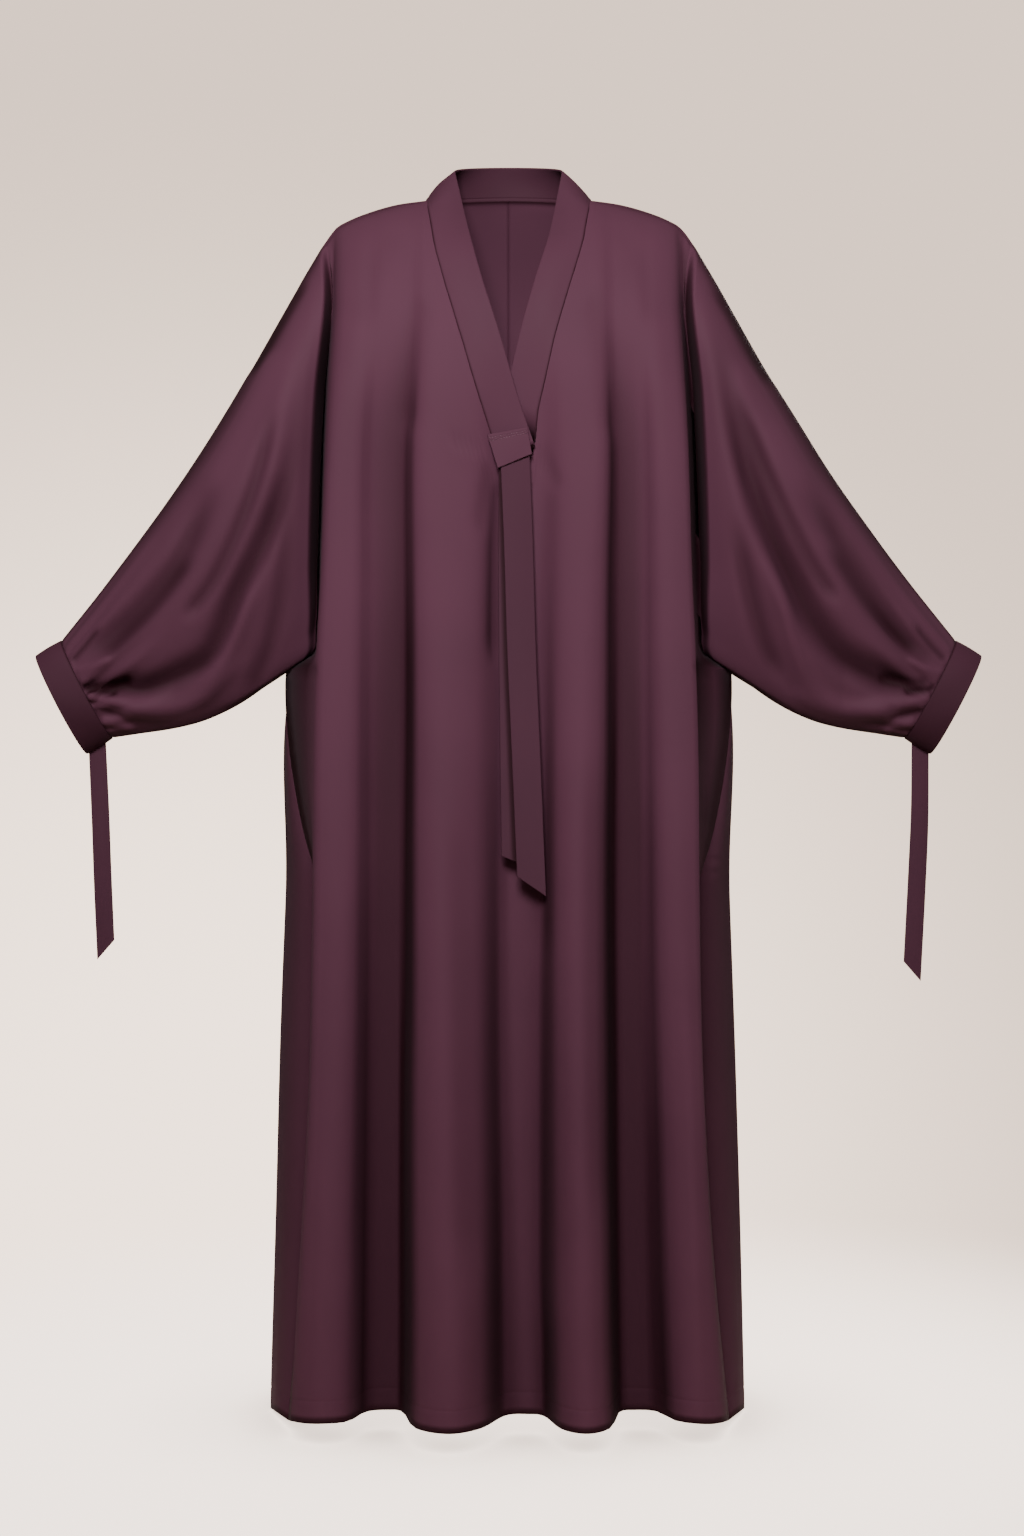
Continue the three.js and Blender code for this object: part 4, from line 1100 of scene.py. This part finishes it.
def band_edge(seam, part):
    """Inner edge of the band, opposite the points of its seam."""
    x, z = seam[:, 0], seam[:, 2]
    if part == "back":
        oval = np.sqrt(np.clip(1 - (x / NECK_HALF) ** 2, 0.0, 1.0))
        return np.stack(
            (
                x * BAND_TOP["half"] / NECK_HALF,
                mix(BAND_TOP["front_y"], BAND_TOP["back_y"], oval),
                mix(BAND_TOP["side_z"], BAND_TOP["back_z"], oval ** BAND_TOP["power"]),
            ),
            axis=1,
        )
    table = BAND_EDGE[part]
    neck, foot = top_of("front", np.array([NECK_HALF, V_FOOT[part]]))
    down = (z - neck) / (foot - neck)
    edge_x = curve(table["down"], table["x"], down)
    edge_z = curve(table["down"], table["z"], down)
    ahead = BAND_OVER if part == "left" else -BAND_UNDER * smooth(*BAND_GOES_UNDER, down)
    lying = front_depth(edge_x, np.minimum(edge_z, BAND_LIES_BELOW)) - ahead
    edge_y = mix(BAND_TOP["front_y"], lying, smooth(*BAND_COMES_TO_LIE, down))
    return np.stack((edge_x, edge_y, edge_z), axis=1)


def band_surface():
    """Middle surface of the neck band, from the foot of its left side round the neck to the right foot."""
    columns = front_columns()
    front = seam_points("front", columns)
    left = front[(columns[1] > -NECK_HALF - 0.01) & (columns[1] < V_FOOT["left"] + 0.1)]
    right = front[(columns[1] > V_FOOT["right"] - 0.1) & (columns[1] < NECK_HALF + 0.01)]
    back_right = seam_points("back", back_columns(1))[SHOULDER_STEPS + 1:]
    back_left = seam_points("back", back_columns(-1))[: BACK_NECK_STEPS]
    behind = np.concatenate((left[:1], back_left[::-1], back_right[:-1][::-1], right[-1:]))
    seam = np.concatenate((left[:0:-1], behind, right[:-1][::-1]))
    edge = np.concatenate(
        (band_edge(left[:0:-1], "left"), band_edge(behind, "back"), band_edge(right[:-1][::-1], "right"))
    )
    outward = unit(np.cross(edge - seam, np.gradient(seam, axis=0)))
    bulge = outward * (BAND_ROLL * smooth(*BAND_ROLL_LEVELS, seam[:, 2]))[:, None]
    shares = edge_shares(BAND_WIDTH, extra=(BAND_STITCH_IN,))
    under = seam - unit(edge - seam) * BAND_UNDERLAP
    grid = strip_grid(under, edge, shares, bulge)
    at_back = smooth(*BAND_GROOVE["start"], seam[:, 2])[:, None]
    from_stitches = (shares * BAND_WIDTH - BAND_STITCH_IN) / BAND_GROOVE["width"]
    groove = np.exp(-(from_stitches**2))[None, :] * at_back * BAND_GROOVE["depth"]
    wave = BAND_WAVE["height"] * np.sin(grid[..., 2] / BAND_WAVE["along"] + BAND_WAVE["shift"])
    wave = wave * np.sin(grid[..., 0] / BAND_WAVE["across"]) * np.sin(math.pi * shares)
    grid = grid + outward[:, None] * wave[..., None]
    # Painted shade on the band at the back of the neck and along its seam
    shaded = BAND_BACK_SHADE["shade"] + BAND_BACK_SHADE["change"] * np.cos(math.pi * shares)
    behind = smooth(*BAND_BACK_SHADE["start"], seam[:, 1])[:, None] * shaded
    at_seam = seam_shade("neck seam on the band", shares * BAND_WIDTH)[None, :]
    return grid, groove, np.maximum(behind, at_seam)


def tab_surface():
    """Middle surface of the stitched tab, the grooves of its stitches, and where its lines are."""
    corners = {name: np.array(place, float) for name, place in TAB_CORNERS.items()}
    across = edge_shares(TAB_WIDTH)
    down = edge_shares(TAB_DEPTH, extra=TAB_STITCHES)
    left = mix(corners["upper left"], corners["lower left"], down[:, None])
    right = mix(corners["upper right"], corners["lower right"], down[:, None])
    grid = strip_grid(left, right, across)
    pillow = np.sin(math.pi * down)[:, None] * np.sin(math.pi * across)[None, :]
    grid[..., 1] -= TAB_PILLOW * pillow
    places = down * TAB_DEPTH
    grooves = [np.exp(-(((places - stitched) / TAB_GROOVE["width"]) ** 2)) for stitched in TAB_STITCHES]
    groove = TAB_GROOVE["depth"] * sum(grooves)
    return grid, np.broadcast_to(groove[:, None], grid.shape[:2]), places


def tie_shade(grid):
    """Painted shade on the back neck tie where the front one hangs over it."""
    front = TIES["tie_front"]
    z = grid[..., 2]
    edge = curve(front["z"], front["x"], z) - front["width"] / 2
    return smooth(*TIE_SHADE["reach"], edge - grid[..., 0]) * TIE_SHADE["shade"]


def tie_surface(shape):
    """Middle surface of a tie with its slanting ends."""
    width = shape["width"]
    across = edge_shares(width)
    side = (2 * across - 1)[None, :]
    length = shape["z"][0] - shape["z"][-1]
    near_end = np.array((0, 0.3, 0.8, 1.6, 3.0)) / length
    down = np.unique(np.concatenate((near_end, np.linspace(0, 1, TIE_ROWS)[1:-1], 1 - near_end)))[:, None]
    z = mix(shape["z"][0], shape["z"][-1], down)
    half = width / 2
    x = curve(shape["z"], shape["x"], z) + side * half
    y = curve(shape["z"], shape["y"], z) + side * curve(shape["z"], shape["lean"], z)
    y = y - shape["curl"] * (1 - side * side) * np.sin(math.pi * down) ** 0.5
    y = y + shape["twist"] * side * np.sin(math.pi * down)
    slant = side * mix(shape["top_slope"] * half, shape["cut"] / 2, down)
    x, y, z = np.broadcast_arrays(x, y, z + slant)
    return np.stack((x, y, z), axis=-1)


def cuff_surface(side, gather_height):
    """Middle surface of a cuff, a ring of lines that run from its seam to its folded edge."""
    front = sleeve_points("front", side, gather_height)[-1]
    back = sleeve_points("back", side, gather_height)[-1]
    ring = np.concatenate((front, back[-2:0:-1]))
    middle = (front[0] + front[-1]) / 2
    axis = np.array((-side * CUFF_AXIS[0], 0.0, CUFF_AXIS[2]))
    shares = edge_shares(CUFF_LENGTH)
    swell = 1 + CUFF_SWELL["middle"] * np.sin(math.pi * shares) + CUFF_SWELL["edge"] * shares
    grid = (ring - middle)[:, None] * swell[None, :, None] + middle
    grid = grid + (shares[None, :, None] * (CUFF_LENGTH + CUFF_UNDERLAP) - CUFF_UNDERLAP) * axis
    wave = np.sin(grid[..., 2] / CUFF_SWELL["wave_length"] + side) * np.sin(math.pi * shares)[None, :]
    wave = CUFF_SWELL["wave"] * wave
    grid[..., 1] += wave * np.sign(grid[..., 1])
    return grid


def stitch_row(points, outward):
    """Small rounded stitches along a line of points, half sunk in the cloth."""
    length, gap, radius, sides = (STITCH[name] for name in ("length", "gap", "radius", "sides"))
    along = np.concatenate(([0.0], np.cumsum(np.linalg.norm(np.diff(points, axis=0), axis=1))))
    count = int(along[-1] // (length + gap))
    rings = len(STITCH_PROFILE)
    vertices = []
    faces = []
    for number in range(count):
        start = number * (length + gap) + gap / 2
        for row in STITCH_PROFILE:
            size = row["size"]
            at = start + row["place"] * length
            centre = np.array([np.interp(at, along, points[:, axis]) for axis in range(3)])
            ahead = np.array([np.interp(at + 0.2, along, points[:, axis]) for axis in range(3)])
            tangent = unit(ahead - centre + 1e-6)
            out = unit(np.asarray(outward) - tangent * np.dot(outward, tangent))
            across = np.cross(tangent, out)
            centre = centre + out * radius * (size - 0.6)
            for step in range(sides):
                angle = 2 * math.pi * step / sides
                vertices.append(centre + radius * size * (math.cos(angle) * across + math.sin(angle) * out))
        base = number * sides * rings
        for ring in range(rings - 1):
            for step in range(sides):
                a = base + ring * sides + step
                b = base + ring * sides + (step + 1) % sides
                faces.append((a, b, b + sides, a + sides))
        faces.append(tuple(base + step for step in reversed(range(sides))))
        faces.append(tuple(base + sides * (rings - 1) + step for step in range(sides)))
    return vertices, faces


class Value:
    """A shader socket with arithmetic that adds Math nodes."""

    def __init__(self, graph, socket):
        self.graph = graph
        self.socket = socket

    def _math(self, operation, a, b):
        return self.graph.add("ShaderNodeMath", {"operation": operation}, {0: a, 1: b})

    def __add__(self, other):
        return self._math("ADD", self, other)

    def __sub__(self, other):
        return self._math("SUBTRACT", self, other)

    def __rsub__(self, other):
        return self._math("SUBTRACT", other, self)

    def __mul__(self, other):
        return self._math("MULTIPLY", self, other)

    __radd__ = __add__
    __rmul__ = __mul__


class Graph:
    """Builds the nodes of one material or world."""

    def __init__(self, owner):
        owner.use_nodes = True
        self.tree = owner.node_tree
        self.tree.nodes.clear()

    def add(self, kind, settings=None, inputs=None, output=0):
        """Adds a node: its settings first, then the values or links of its sockets."""
        node = self.tree.nodes.new(kind)
        for name, value in (settings or {}).items():
            setattr(node, name, value)
        for name, value in (inputs or {}).items():
            if isinstance(value, Value):
                self.tree.links.new(value.socket, node.inputs[name])
            else:
                node.inputs[name].default_value = value
        return Value(self, node.outputs[output]) if len(node.outputs) else node

    def mix_colour(self, a, b, share):
        """Blend of two colours."""
        return self.add("ShaderNodeMix", {"data_type": "RGBA"}, {0: share, 6: a, 7: b}, output=2)


def rgba(colour, factor=1.0):
    """A colour with full alpha, brightened by a factor."""
    return (*(min(1.0, part * factor) for part in colour), 1.0)


def crepe(name, cloth, roughness_shift, weave, painted_tone):
    """Plum satin crepe: slow colour drift, an uneven fine grain, a soft sheen, and painted shade in its
    colour.
    """
    material = bpy.data.materials.new(name)
    graph = Graph(material)
    place = graph.add("ShaderNodeTexCoord", output=3)
    slow = graph.add("ShaderNodeTexNoise", {}, {"Vector": place, "Scale": 7.0, "Detail": 2.0}, output=0)
    grain = graph.add("ShaderNodeTexNoise", {}, {"Vector": place, "Scale": 950.0, "Detail": 3.0}, output=0)
    stretched = graph.add("ShaderNodeMapping", {}, {"Vector": place, "Scale": (260.0, 260.0, 2200.0)})
    weft = graph.add("ShaderNodeTexNoise", {}, {"Vector": stretched, "Scale": 1.0, "Detail": 1.0}, output=0)
    grain_share = grain * 0.6 + weft * 0.4
    drift = slow * 0.75 + grain_share * 0.25
    # The finish's painted tone darkens the whole piece as painted shade; the drift between the two tones is
    # the cloth's own uneven colour
    colour = graph.mix_colour(rgba(cloth.colour, 0.84 * painted_tone), rgba(cloth.colour, 1.16 * painted_tone), drift)
    # Painted shade: the colour is darkened towards the painted shade colour by the value each point carries
    shade_amount = graph.add("ShaderNodeAttribute", {"attribute_name": "painted_shade"}, output=2)
    colour = graph.mix_colour(colour, rgba(cloth.painted_shade_colour), shade_amount)
    roughness = cloth.roughness + roughness_shift + (slow - 0.5) * 0.12 + (grain_share - 0.5) * 0.14
    bump = graph.add(
        "ShaderNodeBump", {}, {"Height": grain_share, "Strength": 0.35 * weave, "Distance": 0.00025}
    )
    shader = graph.add(
        "ShaderNodeBsdfPrincipled",
        {},
        {
            "Base Color": colour,
            "Roughness": roughness,
            "Normal": bump,
            "Specular IOR Level": 0.11,
            "Sheen Weight": 0.015,
            "Sheen Roughness": 0.42,
            "Sheen Tint": (0.95, 0.78, 0.88, 1.0),
        },
    )
    graph.add("ShaderNodeOutputMaterial", {}, {"Surface": shader})
    return material


def thread(cloth):
    """Matching sewing thread with a slight twist."""
    material = bpy.data.materials.new("plum thread")
    graph = Graph(material)
    place = graph.add("ShaderNodeTexCoord", output=3)
    twist = graph.add("ShaderNodeTexNoise", {}, {"Vector": place, "Scale": 2600.0, "Detail": 1.0}, output=0)
    colour = graph.mix_colour(rgba(cloth.thread_colour, 0.75), rgba(cloth.thread_colour, 1.2), twist)
    bump = graph.add("ShaderNodeBump", {}, {"Height": twist, "Strength": 0.4, "Distance": 0.0001})
    shader = graph.add(
        "ShaderNodeBsdfPrincipled", {}, {"Base Color": colour, "Roughness": 0.45, "Normal": bump}
    )
    graph.add("ShaderNodeOutputMaterial", {}, {"Surface": shader})
    return material


def material_named(name, cloth):
    """Each finish is made once and shared."""
    if name in bpy.data.materials:
        return bpy.data.materials[name]
    if name == "plum thread":
        return thread(cloth)
    return crepe(name, cloth, **FINISHES[name])


def dress(piece, node):
    """Puts a piece on the body, in place of its solid."""
    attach(piece, "root")
    if node:
        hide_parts(node)


class ABAYA_OT_front(Operator):
    """Make the front with both sleeve fronts."""

    bl_idname = "abaya.front"
    bl_label = "Front"

    def execute(self, context):
        cloth = context.scene.abaya_cloth
        material = material_named("plum crepe", cloth)
        piece = cloth_piece("front_cloth", "front", front_columns(), (-1, 1), cloth, material)
        dress(piece, "front_panel")
        return {"FINISHED"}


class ABAYA_OT_backs(Operator):
    """Make the two back halves with their sleeve backs."""

    bl_idname = "abaya.backs"
    bl_label = "Back halves"

    def execute(self, context):
        cloth = context.scene.abaya_cloth
        material = material_named("plum crepe", cloth)
        for name, side, area in (("left", -1, 0.65), ("right", 1, 0.62)):
            piece = cloth_piece(f"back_cloth_{name}", "back", back_columns(side), (side,), cloth, material)
            dress(piece, f"back_{name}")
        return {"FINISHED"}


class ABAYA_OT_neck_band(Operator):
    """Make the folded band round the neck, with the stitch line at the back."""

    bl_idname = "abaya.neck_band"
    bl_label = "Neck band"

    def execute(self, context):
        cloth = context.scene.abaya_cloth
        grid, groove, shade = band_surface()
        half = cloth.fold_thickness / MM / 2
        material = material_named("plum crepe, folded and painted darker", cloth)
        piece = folded_piece("neck_band_cloth", grid, half, material, groove=groove, shade=shade)
        dress(piece, "neck_band")
        return {"FINISHED"}


class ABAYA_OT_tab(Operator):
    """Make the tab at the foot of the V and its two rows of stitches."""

    bl_idname = "abaya.tab"
    bl_label = "Tab"

    def execute(self, context):
        cloth = context.scene.abaya_cloth
        grid, groove, places = tab_surface()
        half = cloth.tie_thickness / MM / 2
        material = material_named("plum crepe, folded and painted darker", cloth)
        piece = folded_piece("band_tab_cloth", grid, half, material, groove=groove)
        dress(piece, "band_tab")
        vertices = []
        faces = []
        for stitched in TAB_STITCHES:
            row = int(np.argmin(np.abs(places - stitched)))
            line = grid[row, 2:-2] - np.array((0, half, 0))
            more, corners = stitch_row(line, (0, -1, 0))
            faces += [tuple(index + len(vertices) for index in face) for face in corners]
            vertices += more
        stitches = new_piece("tab_stitches", vertices, faces, material_named("plum thread", cloth))
        dress(stitches, None)
        return {"FINISHED"}


class ABAYA_OT_neck_ties(Operator):
    """Make the two ties that hang from under the tab."""

    bl_idname = "abaya.neck_ties"
    bl_label = "Neck ties"

    def execute(self, context):
        cloth = context.scene.abaya_cloth
        half = cloth.tie_thickness / MM / 2
        material = material_named("plum crepe, pressed and painted darker", cloth)
        for node, length in (("tie_front", 0.5), ("tie_back", 0.46)):
            grid = tie_surface(TIES[node])
            shade = tie_shade(grid) if node == "tie_back" else None
            piece = folded_piece(f"{node}_cloth", grid, half, material, shade=shade)
            dress(piece, node)
        return {"FINISHED"}


class ABAYA_OT_cuffs(Operator):
    """Make the two plain cuffs."""

    bl_idname = "abaya.cuffs"
    bl_label = "Cuffs"

    def execute(self, context):
        cloth = context.scene.abaya_cloth
        half = cloth.fold_thickness / MM / 2
        material = material_named("plum crepe, folded and painted darker", cloth)
        for name, side in (("left", -1), ("right", 1)):
            grid = cuff_surface(side, cloth.gather_height / MM)
            # Painted shade on the cuff, darker towards its lower side and at its seam
            low = smooth(*CUFF_SHADE["levels"], grid[..., 2])
            at_seam = seam_shade("cuff seam on the cuff", run_length(grid, 1))
            shade = np.maximum(CUFF_SHADE["top"] + CUFF_SHADE["more"] * low, at_seam)
            piece = folded_piece(f"cuff_cloth_{name}", grid, half, material, loop=True, shade=shade)
            dress(piece, f"cuff_{name}")
        return {"FINISHED"}


class ABAYA_OT_cuff_ties(Operator):
    """Make the narrow tie at the bottom of each cuff."""

    bl_idname = "abaya.cuff_ties"
    bl_label = "Cuff ties"

    def execute(self, context):
        cloth = context.scene.abaya_cloth
        half = cloth.tie_thickness / MM / 2
        material = material_named("plum crepe, pressed and painted darker", cloth)
        for node, length in (("cuff_tie_left", 0.24), ("cuff_tie_right", 0.27)):
            piece = folded_piece(f"{node}_cloth", tie_surface(TIES[node]), half, material)
            dress(piece, node)
        return {"FINISHED"}


def area_light(row, power):
    """A soft square light that faces its target."""
    data = bpy.data.lights.new(row["name"], "AREA")
    data.size = row["size"]
    data.energy = power
    data.color = row["colour"]
    data.spread = math.radians(row["spread"])
    light = new_object(row["name"], data)
    light.location = row["place"]
    direction = Vector(row["target"]) - Vector(row["place"])
    light.rotation_euler = direction.to_track_quat("-Z", "Y").to_euler()


def floor_material(studio):
    """Pale floor that fades out with distance into the background: matt to the lights, and to the camera an
    even glow with shadows painted in near the garment.
    """
    material = bpy.data.materials.new("pale floor")
    graph = Graph(material)
    place = graph.add("ShaderNodeTexCoord", output=3)
    distance = graph.add("ShaderNodeVectorMath", {"operation": "LENGTH"}, {0: place}, output=1)
    near = graph.add(
        "ShaderNodeMapRange",
        {"interpolation_type": "SMOOTHSTEP"},
        {
            "Value": distance,
            "From Min": FLOOR_FADE["start"],
            "From Max": FLOOR_FADE["end"],
            "To Min": 1.0,
            "To Max": 0.0,
        },
    )
    wide, close = (
        graph.add("ShaderNodeAmbientOcclusion", {"samples": 16}, {"Distance": shadow["reach"]}, output=1)
        * shadow["share"]
        for shadow in FLOOR_SHADOWS
    )
    level = studio.brightness * (wide + close + FLOOR_IN_SHADOW)
    seen = graph.add("ShaderNodeEmission", {}, {"Color": rgba(studio.floor), "Strength": level})
    matt = graph.add("ShaderNodeBsdfDiffuse", {}, {"Color": rgba(studio.floor)})
    by_camera = graph.add("ShaderNodeLightPath", output=0)
    surface = graph.add("ShaderNodeMixShader", {}, {0: by_camera, 1: matt, 2: seen})
    clear = graph.add("ShaderNodeBsdfTransparent", {}, {})
    faded = graph.add("ShaderNodeMixShader", {}, {0: near, 1: clear, 2: surface})
    graph.add("ShaderNodeOutputMaterial", {}, {"Surface": faded})
    return material


def disc(name, height, material, radius, rings, spokes):
    """A flat round floor."""
    vertices = [(0.0, 0.0, 0.0)]
    faces = []
    for ring in range(1, rings + 1):
        for spoke in range(spokes):
            angle = 2 * math.pi * spoke / spokes
            reach = radius * ring / rings
            vertices.append((reach * math.cos(angle), reach * math.sin(angle), 0.0))
    for spoke in range(spokes):
        faces.append((0, 1 + spoke, 1 + (spoke + 1) % spokes))
    for ring in range(rings - 1):
        for spoke in range(spokes):
            a = 1 + ring * spokes + spoke
            b = 1 + ring * spokes + (spoke + 1) % spokes
            faces.append((a, a + spokes, b + spokes, b))
    mesh = bpy.data.meshes.new(name)
    mesh.from_pydata(vertices, [], faces)
    mesh.materials.append(material)
    floor = new_object(name, mesh)
    floor.location = (0.0, 0.0, height)
    return floor


def background(studio):
    """The world: a seamless background with a glow behind the garment, and an even light from all round."""
    world = bpy.data.worlds.new("studio")
    graph = Graph(world)
    direction = graph.add("ShaderNodeTexCoord", output=0)
    away = graph.add(
        "ShaderNodeVectorMath", {"operation": "DISTANCE"}, {0: direction, 1: GLOW["direction"]}, output=1
    )
    glow = graph.add(
        "ShaderNodeMapRange",
        {"interpolation_type": "SMOOTHSTEP"},
        {
            "Value": away,
            "From Min": GLOW["near"],
            "From Max": GLOW["far"],
            "To Min": GLOW["bright"],
            "To Max": GLOW["dim"],
        },
    )
    colour = rgba(studio.background)
    seen = graph.add("ShaderNodeBackground", {}, {"Color": colour, "Strength": glow * studio.brightness})
    lit = graph.add("ShaderNodeBackground", {}, {"Color": colour, "Strength": studio.ambient})
    by_camera = graph.add("ShaderNodeLightPath", output=0)
    blend = graph.add("ShaderNodeMixShader", {}, {0: by_camera, 1: lit, 2: seen})
    graph.add("ShaderNodeOutputWorld", {}, {"Surface": blend})
    return world


class ABAYA_OT_stage(Operator):
    """Make the camera, the lights, the background and the floor."""

    bl_idname = "abaya.stage"
    bl_label = "Studio"

    def execute(self, context):
        studio = context.scene.abaya_studio
        scene = context.scene
        lens = bpy.data.cameras.new("camera")
        lens.lens = CAMERA["lens"]
        lens.sensor_width = CAMERA["sensor"]
        camera = new_object("camera", lens)
        camera.location = CAMERA["place"]
        camera.rotation_euler = (math.pi / 2, 0.0, 0.0)
        scene.camera = camera
        for light in LIGHTS:
            power = light["times"] * getattr(studio, light["power"])
            area_light(light, power)
        scene.world = background(studio)
        floor = disc("floor", FLOOR_Z * MM, floor_material(studio), **FLOOR_DISC)
        return {"FINISHED"}


OPERATORS = (
    ABAYA_OT_stage,
    ABAYA_OT_front,
    ABAYA_OT_backs,
    ABAYA_OT_neck_band,
    ABAYA_OT_tab,
    ABAYA_OT_neck_ties,
    ABAYA_OT_cuffs,
    ABAYA_OT_cuff_ties,
)


class ABAYA_PT_panel(Panel):
    """Buttons for the pieces of the abaya."""

    bl_idname = "ABAYA_PT_panel"
    bl_label = "Abaya"
    bl_space_type = "VIEW_3D"
    bl_region_type = "UI"
    bl_category = "Abaya"

    def draw(self, context):
        for group in (context.scene.abaya_cloth, context.scene.abaya_studio):
            for name in group.__annotations__:
                self.layout.prop(group, name)
        for operator in OPERATORS:
            self.layout.operator(operator.bl_idname)


CLASSES = (AbayaCloth, AbayaStudio, *OPERATORS, ABAYA_PT_panel)


def register():
    """Register the classes and add their settings to the scene."""
    for item in CLASSES:
        bpy.utils.register_class(item)
    bpy.types.Scene.abaya_cloth = PointerProperty(type=AbayaCloth)
    bpy.types.Scene.abaya_studio = PointerProperty(type=AbayaStudio)


def unregister():
    """Take the settings and the classes away again."""
    del bpy.types.Scene.abaya_cloth
    del bpy.types.Scene.abaya_studio
    for item in reversed(CLASSES):
        bpy.utils.unregister_class(item)


def main():
    """Build every piece in order."""
    register()
    for operator in OPERATORS:
        group, action = operator.bl_idname.split(".")
        getattr(getattr(bpy.ops, group), action)()


if __name__ == "__main__":
    main()
